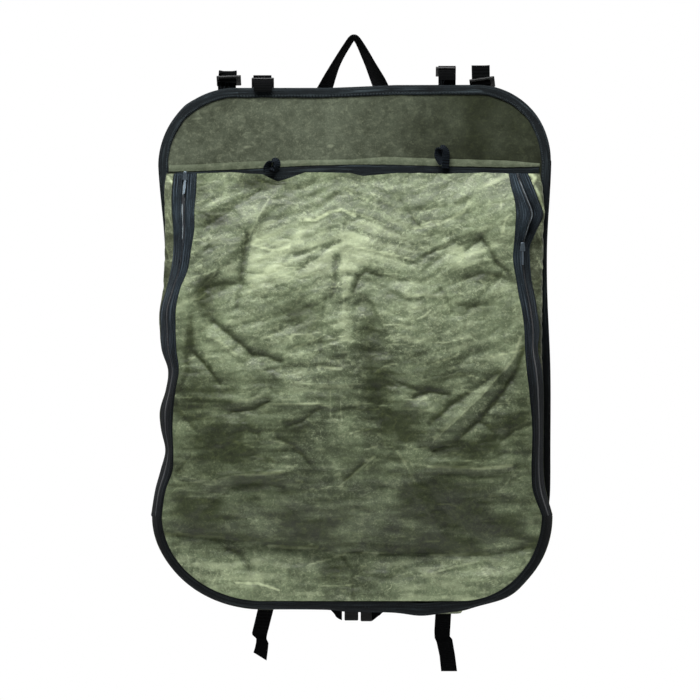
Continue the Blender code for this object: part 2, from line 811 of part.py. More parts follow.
def bottom_stations():
    """Places along the lower rim, as (corner side or 0, angle, x)."""
    stations = [(-1, angle, None) for angle in corner_angles()]
    stations += [(0, 90.0, x) for x, _ in between((LEFT_CORNER, 0), (RIGHT_CORNER, 0), BOTTOM_STEPS)]
    stations += [(1, angle, None) for angle in reversed(corner_angles())]
    return stations


def rim_point(station, inset):
    side, angle, x = station
    if side:
        return front_edge(side, angle, inset)
    return x, CORNER_HEIGHT - CORNER_DEPTH + inset


def build_gussets():
    heights = side_heights()
    heights[-1] += GAP
    for side, rows in (("left", LEFT_ZIP), ("right", RIGHT_ZIP)):
        grid = [side_gusset_row(side, rows, z) for z in heights]
        cloth_sheet(f"gusset_{side}", grid, CLOTH, "canvas")
    grid = []
    for station in bottom_stations():
        x, z = rim_point(station, RIM_CLEAR)
        start = Vector((x, -(FRONT_LIP_DEPTH - lip_drop(station[1]) - LIP_CLEAR), z))
        root_x, root_z = rim_point(station, PANEL_INSIDE_FRONT + GUSSET_SEAM_INSET)
        bulge_x, bulge_z = rim_point(station, RIM_BULGE)
        grid.append(gusset_section(start, gusset_root(root_x, root_z), bulge_x, bulge_z))
    for end in (grid[0], grid[-1]):
        for point in end:
            point.z -= GAP
    cloth_sheet("gusset_bottom", grid, CLOTH, "canvas")


def build_bottom_binding():
    grid = []
    for station in bottom_stations():
        row = []
        for share in (0.0, 0.5, 1.0):
            x, z = rim_point(station, FRONT_BAND * (1 - share))
            depth = FRONT_LIP_DEPTH - lip_drop(station[1]) * share * share
            row.append(Vector((x, -depth, z)))
        grid.append(row)
    for end in (grid[0], grid[-1]):
        for point in end:
            point.z -= GAP
    cloth_sheet("bottom_binding", grid, LIP_WALL, "binding_tape")


def build_handle():
    centres = [Vector((point.x, point.y, point.z)) for point in HANDLE]
    across = []
    for index, point in enumerate(HANDLE):
        along = centres[min(index + 1, len(centres) - 1)] - centres[max(index - 1, 0)]
        level = Vector((along.z, 0, -along.x)).normalized()
        turn = math.radians(point.turn)
        across.append(level * math.cos(turn) + Vector((0, 1, 0)) * math.sin(turn))
    ribbon("handle", centres, across, HANDLE_WIDTH, WEBBING, "webbing")


def build_top_stubs():
    """Webbing folded over on itself above the edge, through a plastic slider."""
    for number, stub in enumerate(TOP_STUBS, start=1):
        radius = STUB_FOLD_RADIUS
        fold_centre = stub.top - radius - WEBBING / 2
        centres = [
            Vector((stub.x, WEBBING_REAR, STUB_SEWN_TO)),
            Vector((stub.x, WEBBING_REAR, stub.slider - SLIDER_HEIGHT)),
        ]
        for step in range(7):
            angle = math.radians(180 * step / 6)
            y = WEBBING_REAR - radius + radius * math.cos(angle)
            centres.append(Vector((stub.x + stub.lean, y, fold_centre + radius * math.sin(angle))))
        flap_end = stub.slider - SLIDER_HEIGHT / 2 + FLAP_RISE
        centres.append(Vector((stub.x, WEBBING_REAR - 2 * radius, flap_end)))
        across = [Vector((1, 0, 0))] * len(centres)
        ribbon(f"top_strap_{number}", centres, across, TOP_WIDTH, WEBBING, "webbing")
        build_strap_slider(number, stub)


def build_strap_slider(number, stub):
    """A plastic frame round both layers of a stub."""
    middle = WEBBING_REAR - STUB_FOLD_RADIUS
    loops = []
    for width, depth, rise in (
        (stub.slider_width, SLIDER_DEPTH, 1),
        (stub.slider_width, SLIDER_DEPTH, -1),
        (TOP_WIDTH + 2 * SLIDER_SLOT_CLEAR, SLIDER_SLOT_DEPTH, -1),
        (TOP_WIDTH + 2 * SLIDER_SLOT_CLEAR, SLIDER_SLOT_DEPTH, 1),
    ):
        z = stub.slider + rise * SLIDER_HEIGHT / 2
        x = stub.x + stub.lean * SLIDER_LEAN
        loops.append([
            (x - width / 2, middle - depth / 2, z),
            (x + width / 2, middle - depth / 2, z),
            (x + width / 2, middle + depth / 2, z),
            (x - width / 2, middle + depth / 2, z),
        ])
    thing = tube_of_loops(f"strap_slider_{number}", loops, "plastic", closed=True)
    rounding = thing.modifiers.new("Rounded edges", "BEVEL")
    rounding.width = 0.5 * MM
    rounding.segments = 1
    rounding.limit_method = "ANGLE"


def build_loops():
    for name, points in (("loop_left", LEFT_LOOP), ("loop_right", RIGHT_LOOP)):
        y = -STRIP_FRONT - GAP - LOOP_WIDTH / 2
        centres = [Vector((point.x, y, point.z)) for point in points]
        across = [Vector((0, 1, 0))] * len(centres)
        ribbon(name, centres, across, LOOP_WIDTH, LOOP_THICKNESS, "webbing")


def build_lower_straps():
    for name, points in (("lower_strap_left", LOWER_LEFT), ("lower_strap_right", LOWER_RIGHT)):
        centres = [Vector((point.x, point.y, point.z)) for point in points]
        across = [Vector((1, 0, 0))] * len(centres)
        ribbon(name, centres, across, LOWER_WIDTH, WEBBING, "webbing")


def build_waist_strap():
    for name, rows in (("waist_strap_left", WAIST_LEFT), ("waist_strap_right", WAIST_RIGHT)):
        grid = [
            (
                Vector((row.upper_x, row.y, row.upper_z)),
                Vector((row.lower_x, row.y, row.lower_z)),
            )
            for row in rows
        ]
        cloth_sheet(name, grid, WEBBING, "webbing")
    front = BUCKLE_Y - BUCKLE_DEPTH / 2
    back = BUCKLE_Y + BUCKLE_DEPTH / 2
    extruded("buckle_socket", BUCKLE_SOCKET, front, back, "plastic", bevel=0.8)
    extruded("buckle_plug", BUCKLE_PLUG, front, back, "plastic", bevel=0.8)


def build_bag():
    clear_scene()
    build_back_panel()
    build_back_binding()
    build_strips()
    build_front_panel()
    build_zip("left", LEFT_ZIP)
    build_zip("right", RIGHT_ZIP)
    build_zip_slider("left", LEFT_ZIP, LEFT_SLIDER_Z)
    build_zip_slider("right", RIGHT_ZIP, RIGHT_SLIDER_Z)
    build_gussets()
    build_bottom_binding()
    build_handle()
    build_top_stubs()
    build_loops()
    build_lower_straps()
    build_waist_strap()


build_bag()
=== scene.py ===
import math
import random

import bmesh
import bpy
from mathutils import Matrix, Vector, noise


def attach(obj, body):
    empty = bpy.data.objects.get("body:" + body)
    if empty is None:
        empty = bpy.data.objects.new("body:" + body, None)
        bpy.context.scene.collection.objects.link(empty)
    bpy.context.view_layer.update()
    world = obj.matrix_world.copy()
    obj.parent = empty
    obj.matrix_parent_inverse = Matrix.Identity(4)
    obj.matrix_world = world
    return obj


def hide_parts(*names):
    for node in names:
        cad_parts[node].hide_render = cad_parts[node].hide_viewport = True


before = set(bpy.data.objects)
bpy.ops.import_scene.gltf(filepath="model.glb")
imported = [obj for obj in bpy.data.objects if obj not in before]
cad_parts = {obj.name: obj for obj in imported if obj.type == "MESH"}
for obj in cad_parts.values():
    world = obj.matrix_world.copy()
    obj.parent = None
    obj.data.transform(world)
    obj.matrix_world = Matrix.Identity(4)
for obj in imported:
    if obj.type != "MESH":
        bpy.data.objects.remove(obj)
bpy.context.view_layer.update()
mm = 0.001

# Camera and light
studio = {
    "distance": 9.0, "lens": 364.4, "aimX": -0.0035, "aimZ": -0.3937,
    "ambient": 0.09, "floorHeight": -0.95, "floorHalf": 1.0,
}
# name, power, size, place: the key shines down the front, the others reach only the sides and the back
lamps = (
    ("keyLight", 38.0, (0.9, 0.45), (-0.22, -0.55, 0.85)), ("fillLight", 4.0, (2.6, 2.6), (-0.9, -3.4, 0.4)),
    ("backLight", 60.0, (1.6, 1.2), (0.4, 2.2, 0.7)), ("leftLight", 22.0, (1.0, 1.2), (-2.2, 0.8, 0.2)),
    ("rightLight", 22.0, (1.0, 1.2), (2.2, 0.8, 0.2)),
)
scene = bpy.context.scene
scene.view_settings.view_transform = "Standard"
scene.view_settings.look = "None"


def aimAt(thing, target):
    thing.rotation_euler = (Vector(target) - thing.location).to_track_quat("-Z", "Y").to_euler()


def addAreaLight(name, power, size, place):
    data = bpy.data.lights.new(name, "AREA")
    data.shape = "RECTANGLE"
    data.size, data.size_y = size
    data.energy = power
    lamp = bpy.data.objects.new(name, data)
    lamp.location = place
    lamp.visible_camera = False
    aimAt(lamp, (0, 0, studio["aimZ"]))
    scene.collection.objects.link(lamp)


cameraData = bpy.data.cameras.new("camera")
cameraData.lens = studio["lens"]
cameraData.sensor_width = 36
cameraData.clip_end = 100
camera = bpy.data.objects.new("camera", cameraData)
camera.location = (studio["aimX"], -studio["distance"], studio["aimZ"])
camera.rotation_euler = (math.radians(90), 0, 0)
scene.collection.objects.link(camera)
scene.camera = camera

for lampRow in lamps:
    addAreaLight(*lampRow)

world = bpy.data.worlds.new("studio")
world.use_nodes = True
scene.world = world
worldNodes, worldLinks = world.node_tree.nodes, world.node_tree.links
ambient = worldNodes["Background"]
ambient.inputs["Color"].default_value = (1, 1, 1, 1)
ambient.inputs["Strength"].default_value = studio["ambient"]
backdrop = worldNodes.new("ShaderNodeBackground")
backdrop.inputs["Color"].default_value = (1, 1, 1, 1)
rays = worldNodes.new("ShaderNodeLightPath")
choose = worldNodes.new("ShaderNodeMixShader")
worldLinks.new(rays.outputs["Is Camera Ray"], choose.inputs[0])
worldLinks.new(ambient.outputs[0], choose.inputs[1])
worldLinks.new(backdrop.outputs[0], choose.inputs[2])
worldLinks.new(choose.outputs[0], worldNodes["World Output"].inputs[0])
print("camera, lights and world are set")


# Materials, all procedural

def srgb(red, green, blue):
    return tuple(((channel / 255 + 0.055) / 1.055) ** 2.4 for channel in (red, green, blue)) + (1,)


def addNode(tree, kind, sockets=None, **settings):
    made = tree.nodes.new(kind)
    for key, value in settings.items():
        setattr(made, key, value)
    for key, value in (sockets or {}).items():
        if isinstance(value, bpy.types.NodeSocket):
            tree.links.new(value, made.inputs[key])
        else:
            made.inputs[key].default_value = value
    return made


def noiseOf(tree, coords, scale, detail=4, roughness=0.55, distortion=0):
    return addNode(tree, "ShaderNodeTexNoise", {
        "Vector": coords, "Scale": scale, "Detail": detail, "Roughness": roughness, "Distortion": distortion,
    }).outputs["Fac"]


def remap(tree, value, low, high, toLow=0.0, toHigh=1.0):
    return addNode(tree, "ShaderNodeMapRange", {
        "Value": value, "From Min": low, "From Max": high, "To Min": toLow, "To Max": toHigh,
    }).outputs["Result"]


def maths(tree, operation, first, second=0.5):
    return addNode(tree, "ShaderNodeMath", {0: first, 1: second}, operation=operation).outputs[0]


def times(tree, first, second):
    return maths(tree, "MULTIPLY", first, second)


def offBy(tree, value, middle):
    # How far the value is from its middle
    return maths(tree, "ABSOLUTE", maths(tree, "SUBTRACT", value, middle))


def coordsOf(tree, kind):
    return addNode(tree, "ShaderNodeTexCoord").outputs[kind]


def attributeOf(tree, name):
    return addNode(tree, "ShaderNodeAttribute", attribute_name=name).outputs["Fac"]


# How far apart, in metres, the bands of a wave texture lie at scale 1
waveLength = 0.314


def bandsOf(tree, coords, scale, distortion, direction):
    return addNode(tree, "ShaderNodeTexWave", {"Vector": coords, "Scale": scale, "Distortion": distortion},
                   wave_type="BANDS", bands_direction=direction).outputs["Fac"]


def mixColour(tree, factor, first, second, blend="MIX"):
    return addNode(
        tree, "ShaderNodeMix", {0: factor, 6: first, 7: second}, data_type="RGBA", blend_type=blend
    ).outputs[2]


def layered(tree, colour, look, layers):
    # Lays colours of the look over one another: how much of each shows, and its name
    for factor, tint in layers:
        colour = mixColour(tree, factor, colour, look[tint])
    return colour


def bumpOf(tree, height, strength, distance, under=None):
    sockets = {"Height": height, "Strength": strength, "Distance": distance}
    if under is not None:
        sockets["Normal"] = under
    return addNode(tree, "ShaderNodeBump", sockets).outputs["Normal"]


def newMaterial(name):
    material = bpy.data.materials.new(name)
    material.use_nodes = True
    return material, material.node_tree, material.node_tree.nodes["Principled BSDF"]


def crazingOf(tree, coords, scale, width):
    # Broken thin lines along the edges of warped cells, as wax cracks
    warp = addNode(tree, "ShaderNodeTexNoise", {"Vector": coords, "Scale": scale * 0.8, "Detail": 3, "Roughness": 0.5})
    shift = addNode(tree, "ShaderNodeVectorMath", {0: warp.outputs["Color"], "Scale": 0.7 / scale}, operation="SCALE")
    moved = addNode(tree, "ShaderNodeVectorMath", {0: coords, 1: shift.outputs[0]}, operation="ADD")
    cells = addNode(tree, "ShaderNodeTexVoronoi", {"Vector": moved.outputs[0], "Scale": scale},
                    feature="DISTANCE_TO_EDGE")
    shown = remap(tree, noiseOf(tree, coords, scale * 0.9, 4, 0.65), 0.5, 0.66)
    return times(tree, remap(tree, cells.outputs["Distance"], 0, width, 1, 0), shown)


def waxedCanvas(name, look):
    material, tree, shader = newMaterial(name)
    coords = coordsOf(tree, "Object")
    stretched = addNode(tree, "ShaderNodeMapping", {
        "Vector": coords, "Scale": (0.85, 1, 1.1), "Rotation": (0, 0.15, 0),
    }).outputs[0]
    patches = noiseOf(tree, coords, look["patchScale"], 5, 0.6, 0.8)
    clouds = noiseOf(tree, coords, look["cloudScale"], 7, 0.68, 0.5)
    fibres = noiseOf(tree, stretched, 130, 5, 0.7, 0.3)
    speckle = noiseOf(tree, coords, 430, 3, 0.7)
    flecks = times(tree, remap(tree, noiseOf(tree, stretched, 200, 6, 0.75, 0.3), 0.54, 0.66),
                   remap(tree, noiseOf(tree, coords, 24, 4, 0.6), 0.45, 0.62, 0.15, 1))
    veins = times(tree, crazingOf(tree, stretched, look["veinScale"], 0.02), look["veins"])
    # Pale wax where the cloth is worn, together with painted highlights, from the mark of wear and highlight
    scuffsAndHighlights = times(tree, remap(tree, attributeOf(tree, "wornAndHighlight"), 0.3, 0.95), remap(tree, fibres, 0.3, 0.55, 0.35, 1))
    stainAndShading = attributeOf(tree, "stainAndShading")
    colour = mixColour(tree, remap(tree, patches, 0.36, 0.64), look["dark"], look["base"])
    colour = layered(tree, colour, look, (
        (remap(tree, clouds, 0.44, 0.7, 0, look["clouds"]), "pale"),
        (remap(tree, clouds, 0.5, 0.32, 0, look["clouds"]), "dark"),
        (remap(tree, fibres, 0.5, 0.74, 0, look["fibres"]), "wax"),
        (times(tree, flecks, look["flecks"]), "wax"),
        (remap(tree, speckle, 0.56, 0.8, 0, 0.55), "wax"),
        (remap(tree, speckle, 0.46, 0.26, 0, 0.65), "dark"),
        (maths(tree, "MAXIMUM", veins, scuffsAndHighlights), "wax"),
        # Below 0 the mark paints a paler colour, partly painted light; above 0 it darkens, by stains and by painted
        # shade
        (remap(tree, stainAndShading, 0, -1), "wax"),
    ))
    colour = mixColour(tree, remap(tree, stainAndShading, 0, 1), colour, look["stainAndShading"], "MULTIPLY")
    tree.links.new(colour, shader.inputs["Base Color"])
    tree.links.new(remap(tree, clouds, 0.3, 0.7, look["rough"], look["rough"] + 0.2), shader.inputs["Roughness"])
    shader.inputs["Specular IOR Level"].default_value = look["gloss"]
    # Noise folded at its middle gives the sharp lines of crumpled, waxed cloth
    broad, fine = (offBy(tree, noiseOf(tree, stretched, scale, 2, 0.45, 0.2), 0.5) for scale in (26, 70))
    creases = maths(tree, "ADD", broad, times(tree, fine, 0.4))
    crumple = maths(tree, "ADD", times(tree, creases, 2.2), times(tree, fibres, 0.04))
    warp, weft = (bandsOf(tree, coords, 262, 0.6, direction) for direction in "XZ")
    normal = bumpOf(tree, crumple, look["crumple"], 0.004)
    normal = bumpOf(tree, maths(tree, "ADD", warp, weft), 0.25, 0.0002, normal)
    tree.links.new(normal, shader.inputs["Normal"])
    return material


def stitchMask(tree, parts, look):
    # One row of lockstitch along the tape
    along = maths(tree, "FRACT", maths(tree, "DIVIDE", parts[1], look["stitchPitch"]))
    dash = remap(tree, offBy(tree, along, 0.5), 0.28, 0.36, 1, 0)
    return times(tree, remap(tree, offBy(tree, parts[0], look["stitchAt"]), 0.0003, 0.0006, 1, 0), dash)


def boxMask(tree, parts, look):
    # The box and cross of a sewn end: boxAt is its middle across and along, boxHalf its half sizes
    aside, along = (
        maths(tree, "ABSOLUTE", maths(tree, "DIVIDE", maths(tree, "SUBTRACT", part, middle), half))
        for part, middle, half in zip(parts, look["boxAt"], look["boxHalf"])
    )
    outer = maths(tree, "MAXIMUM", aside, along)
    sides = remap(tree, offBy(tree, outer, 1.0), 0.05, 0.1, 1, 0)
    cross = remap(tree, offBy(tree, aside, along), 0.06, 0.12, 1, 0)
    return maths(tree, "MAXIMUM", sides, times(tree, cross, maths(tree, "LESS_THAN", outer, 1.0)))


def wovenTape(name, look):
    # UV in metres: U across the tape, V along it
    material, tree, shader = newMaterial(name)
    coords, place = coordsOf(tree, "UV"), coordsOf(tree, "Object")
    ribs = bandsOf(tree, coords, waveLength / look["ribPitch"], 0.3, look["ribs"])
    cross = bandsOf(tree, coords, waveLength / look["crossPitch"], 0.5, "Y" if look["ribs"] == "X" else "X")
    dust = noiseOf(tree, place, 45, 5, 0.65)
    lint = noiseOf(tree, place, 600, 2, 0.6)
    drawn = addNode(tree, "ShaderNodeMapping", {"Vector": coords, "Scale": (700, 14, 1)}).outputs[0]
    pulls = noiseOf(tree, drawn, 1, 3, 0.6, 0.4)
    colour = mixColour(tree, remap(tree, dust, 0.35, 0.7), look["dark"], look["base"])
    colour = layered(tree, colour, look, (
        (remap(tree, pulls, 0.54, 0.66, 0, look["pulls"]), "pale"),
        (remap(tree, pulls, 0.47, 0.36, 0, look["pulls"]), "dark"),
        (times(tree, ribs, look["contrast"]), "pale"),
        (remap(tree, lint, 0.62, 0.8, 0, look["lint"]), "pale"),
    ))
    for socket, key in (("Roughness", "rough"), ("Specular IOR Level", "gloss"), ("Sheen Weight", "sheen")):
        shader.inputs[socket].default_value = look[key]
    shader.inputs["Sheen Roughness"].default_value = 0.5
    normal = bumpOf(tree, maths(tree, "ADD", dust, times(tree, pulls, look["pulls"])), 0.6, 0.002)
    parts = addNode(tree, "ShaderNodeSeparateXYZ", {0: coords}).outputs[:2]
    for key, maskOf in (("stitchAt", stitchMask), ("boxAt", boxMask)):
        if look[key]:
            mask = maskOf(tree, parts, look)
            colour = mixColour(tree, mask, colour, look["thread"])
            normal = bumpOf(tree, mask, 0.8, 0.0006, normal)
    if look["dusk"]:
        # The tapes are darker down the sides below a set height, and a little less so along the bottom
        height = addNode(tree, "ShaderNodeSeparateXYZ", {0: place}).outputs["Z"]
        sides, bottom = remap(tree, height, -0.45, -0.35, 1, 0), remap(tree, height, -0.7, -0.62, 0.4, 0)
        share = times(tree, maths(tree, "SUBTRACT", sides, bottom), look["dusk"])
        colour = mixColour(tree, share, colour, (0.0015, 0.0017, 0.0018, 1))
    tree.links.new(colour, shader.inputs["Base Color"])
    weave = maths(tree, "ADD", ribs, times(tree, cross, 0.45))
    tree.links.new(bumpOf(tree, weave, look["bump"], 0.0004, normal), shader.inputs["Normal"])
    return material


def mouldedPlastic(name, look):
    material, tree, shader = newMaterial(name)
    scratch = noiseOf(tree, coordsOf(tree, "Object"), 400, 5, 0.7)
    colour = mixColour(tree, remap(tree, scratch, 0.5, 0.75), look["base"], look["pale"])
    # The bright colour is a painted highlight, along the zip teeth
    colour = mixColour(tree, attributeOf(tree, "wornAndHighlight"), colour, look["bright"])
    tree.links.new(colour, shader.inputs["Base Color"])
    tree.links.new(remap(tree, scratch, 0.3, 0.7, look["rough"], look["rough"] + 0.2), shader.inputs["Roughness"])
    shader.inputs["Metallic"].default_value = look["metal"]
    shader.inputs["Specular IOR Level"].default_value = 0.25
    tree.links.new(bumpOf(tree, scratch, 0.3, 0.0002), shader.inputs["Normal"])
    return material


frontCanvasLook = {
    "base": srgb(103, 115, 86), "dark": srgb(68, 77, 56), "pale": srgb(130, 144, 111), "wax": srgb(184, 195, 157),
    "stainAndShading": srgb(121, 126, 97), "patchScale": 9, "cloudScale": 60, "clouds": 0.5, "fibres": 0.4, "veinScale": 40,
    "flecks": 0.5, "veins": 0.25, "rough": 0.46, "gloss": 0.34, "crumple": 0.6,
}
panelCanvasLook = dict(
    frontCanvasLook, base=srgb(70, 76, 62), dark=srgb(52, 57, 44), pale=srgb(86, 93, 76), wax=srgb(124, 130, 108),
    clouds=0.5, flecks=0.35, crumple=0.12, gloss=0.2,
)
hemCanvasLook = dict(panelCanvasLook, base=srgb(88, 96, 78), dark=srgb(70, 77, 60), pale=srgb(106, 114, 94))
gussetCanvasLook = dict(frontCanvasLook, base=srgb(90, 98, 75), dark=srgb(64, 70, 52), pale=srgb(116, 123, 98))
bindingLook = {
    "base": srgb(18, 23, 26), "dark": srgb(6, 8, 10), "pale": srgb(62, 72, 76), "thread": srgb(38, 45, 48), "ribs": "Y",
    "ribPitch": 0.0012, "crossPitch": 0.0009, "contrast": 0.15, "pulls": 0.5, "lint": 0.6, "stitchAt": 0.0038,
    "stitchPitch": 0.0034, "boxAt": None, "dusk": 0.75, "rough": 0.75, "gloss": 0.08, "sheen": 0.02, "bump": 0.6,
}
zipTapeLook = dict(bindingLook, base=srgb(28, 38, 44), dark=srgb(10, 14, 18), pale=srgb(74, 86, 96), ribs="X",
                   ribPitch=0.0016, contrast=0.1, pulls=0.8)
webbingLook = dict(bindingLook, base=srgb(4, 5, 5), dark=srgb(2, 2, 3), pale=srgb(15, 17, 19), ribPitch=0.0018,
                   contrast=0.25, pulls=0.1, lint=0.3, sheen=0.0, gloss=0.03, stitchAt=0, thread=srgb(30, 34, 36),
                   boxAt=(0.0112, 0.0145), boxHalf=(0.0075, 0.0105), dusk=0)
loopLook = dict(webbingLook, base=srgb(9, 12, 15), pale=srgb(44, 52, 60), contrast=0.4, boxAt=None)
# bright is the colour of the painted highlight along the teeth
toothLook = {
    "base": srgb(18, 22, 26), "pale": srgb(56, 64, 72), "bright": srgb(160, 172, 178), "rough": 0.4, "metal": 0.0,
}
plasticLook = dict(toothLook, base=srgb(5, 6, 7), pale=srgb(20, 23, 25), rough=0.35)
metalLook = dict(toothLook, base=srgb(92, 102, 110), pale=srgb(60, 68, 74), rough=0.42, metal=1.0)
materials = {
    "frontCanvas": (waxedCanvas("waxedCanvas", frontCanvasLook), "canvas"),
    "gussetCanvas": (waxedCanvas("gussetCanvas", gussetCanvasLook), "canvas"),
    "hemCanvas": (waxedCanvas("hemCanvas", hemCanvasLook), "canvas"),
    "panelCanvas": (waxedCanvas("panelCanvas", panelCanvasLook), "panel_canvas"),
    "binding": (wovenTape("bindingTape", bindingLook), "binding_tape"),
    "zipTape": (wovenTape("zipTape", zipTapeLook), "zip_tape"),
    "webbing": (wovenTape("webbing", webbingLook), "webbing"),
    "loopTape": (wovenTape("loopTape", loopLook), "webbing"),
    "teeth": (mouldedPlastic("zipTeeth", toothLook), "zip_teeth"),
    "plastic": (mouldedPlastic("mouldedPlastic", plasticLook), "plastic"),
    "metal": (mouldedPlastic("zipMetal", metalLook), "zip_metal"),
}
print("materials are made")


# Shapes that several pieces share, in millimetres

# Millimetres to a pixel of the photograph, and its pixel that lies at x = 0, z = 0
pixel, originX, originY = 1.27, 352, 40
# height, left, right: how far the board's sides lean out of straight
panelBow = (
    (-60, 0.0, 0.0), (-159, 0.0, 0.5), (-254, 8.0, -4.5), (-318, 9.0, -4.5), (-419, 15.5, -0.5), (-521, 10.5, -0.5),
    (-572, 0.0, -0.8), (-603, -4.1, -2.9), (-725, -4.1, -2.9),
)
# height, inner, outer, depth, drop, gape, split: one side zip from the front cloth to the gusset
leftZip = (
    (-170, -198, -227, 7, 2, 0, 0.50), (-193, -199, -229, 12, 3, 0, 0.50), (-216, -201, -229, 18, 5, 0, 0.50),
    (-241, -201, -227, 23, 8, 0, 0.50), (-267, -205, -227, 27, 12, 0, 0.50), (-292, -209, -230, 31, 15, 0, 0.50),
    (-318, -219, -236, 35, 18, 0, 0.50), (-343, -224, -243, 37, 19, 0, 0.55), (-368, -224, -243, 38, 19, 0, 0.55),
    (-394, -223, -241, 39, 20, 0, 0.55), (-419, -220, -233, 41, 22, 0, 0.60), (-444, -224, -236, 41, 23, 0, 0.60),
    (-470, -227, -243, 41, 22, 0, 0.60), (-495, -228, -242, 40, 23, 0, 0.60), (-521, -227, -237, 40, 23, 0, 0.60),
    (-546, -228, -243, 38, 22, 0, 0.60), (-572, -237, -250, 36, 20, 0, 0.60), (-603, -241.8, -254.6, 34, 14, 0, 0.60),
)
rightZip = (
    (-170, 198, 222, 9, 4, 2, 0.45), (-187, 201, 229, 19, 9, 13, 0.50), (-203, 205, 235, 27, 15, 18, 0.55),
    (-221, 207, 241, 31, 20, 20, 0.60), (-237, 206, 235, 31, 18, 16, 0.58), (-252, 205, 228, 30, 14, 5, 0.55),
    (-262, 204, 224, 29, 12, 0, 0.55), (-279, 203, 224, 31, 14, 0, 0.55), (-305, 207, 226, 34, 16, 0, 0.55),
    (-324, 210, 230, 36, 17, 0, 0.55), (-343, 214, 233, 38, 19, 0, 0.55), (-368, 217, 236, 40, 20, 0, 0.55),
    (-394, 218, 234, 41, 22, 0, 0.60), (-419, 220, 239, 42, 22, 0, 0.60), (-444, 223, 241, 42, 22, 0, 0.60),
    (-495, 227, 241, 41, 23, 0, 0.60), (-546, 226, 241, 39, 22, 0, 0.60), (-572, 228, 244, 37, 20, 0, 0.60),
    (-603, 239.3, 252.1, 34, 14, 0, 0.60),
)
panel = {"left": -247.0, "right": 251.5, "top": -58.4, "leftRadius": 101.6, "rightRadius": 94.0, "thickness": 3.0}
# The front's lower corners are quarter ellipses
front = {
    "top": -170.0, "cornerZ": -603.3, "leftX": -112.6, "rightX": 136.5, "leftWidth": 142.0, "rightWidth": 115.6,
    "cornerDepth": 121.3, "band": 12.8, "lip": 34.0, "gap": 0.4,
}
panelInset = 3.5
# x, how far the lower rim's outer edge draws in
rimTrims = (
    (-256, 1.0), (-237, 2.6), (-193, 2.6), (-28, 3.6), (-9, 1.5), (29, 1.5), (61, 0.8), (80, 0.0), (124, 0.0),
    (140, 1.5), (156, 5.0), (172, 5.0), (188, 2.5), (203, 0.5), (222, 2.0), (240, 0.5), (254, 0.0),
)
# x, how far the board's top edge leaves its level
topSags = (
    (-226, 0.4), (-213, 1.2), (-200, -0.6), (-186, -1.2), (-150, -2.4), (-30, -2.4), (0, -1.2), (28, 0.0), (53, 1.2),
    (250, 1.6),
)
# Where the board's outline changes: along one side, then round the whole rim, and along the pouch's lower rim
sideEnds = {"corner": 0.22, "straight": 0.74}
rimEnds = {"left": 0.39, "bottom": 0.5, "right": 0.88}
lowerEnds = {"left": 0.322, "right": 0.71}


def curveAt(rows, column, z):
    # A table's column at height z, on a smooth curve through its rows
    z = min(max(z, rows[-1][0]), rows[0][0])
    index = 0
    while index < len(rows) - 2 and z < rows[index + 1][0]:
        index += 1

    def slope(at):
        low, high = max(at - 1, 0), min(at + 1, len(rows) - 1)
        return (rows[high][column] - rows[low][column]) / (rows[high][0] - rows[low][0])

    span = rows[index + 1][0] - rows[index][0]
    t = (z - rows[index][0]) / span
    return (
        (2 * t**3 - 3 * t**2 + 1) * rows[index][column] + (t**3 - 2 * t**2 + t) * span * slope(index)
        + (3 * t**2 - 2 * t**3) * rows[index + 1][column] + (t**3 - t**2) * span * slope(index + 1)
    )


def bell(t):
    return math.exp(-(t**2))


def alongX(rows, column, x):
    # A table's column at x, straight between its rows
    for left, right in zip(rows, rows[1:]):
        if x <= right[0] or right is rows[-1]:
            t = min(max((x - left[0]) / (right[0] - left[0]), 0.0), 1.0)
            return left[column] * (1 - t) + right[column] * t


def ease(t):
    t = min(max(t, 0.0), 1.0)
    return t * t * (3 - 2 * t)


def ripple(x, z, size, seed=0.0):
    # Smooth noise, about -1 to 1, with bumps about size across
    return noise.noise(Vector((x / size, seed, z / size)))


def spot(px, py):
    # Where a point of the photograph lies, in millimetres across and up
    return (px - originX) * pixel, (originY - py) * pixel


def finishPiece(name, bm, look, replaced=(), wall=0.0, bevel=0.0, smooth=True):
    for edge in bm.edges:
        if edge.is_boundary:
            edge.smooth = False
    mesh = bpy.data.meshes.new(name)
    bm.to_mesh(mesh)
    bm.free()
    piece = bpy.data.objects.new(name, mesh)
    scene.collection.objects.link(piece)
    material, slotName = materials[look]
    mesh.materials.append(material)
    if smooth:
        for face in mesh.polygons:
            face.use_smooth = True
    if wall:
        solid = piece.modifiers.new("Wall", "SOLIDIFY")
        solid.thickness = wall * mm
        solid.offset = 0
    if bevel:
        rounding = piece.modifiers.new("Rounded edges", "BEVEL")
        rounding.width = bevel * mm
        rounding.segments = 2
        rounding.limit_method = "ANGLE"
        rounding.harden_normals = False
    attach(piece, "root")
    if replaced:
        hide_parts(*replaced)
    return piece


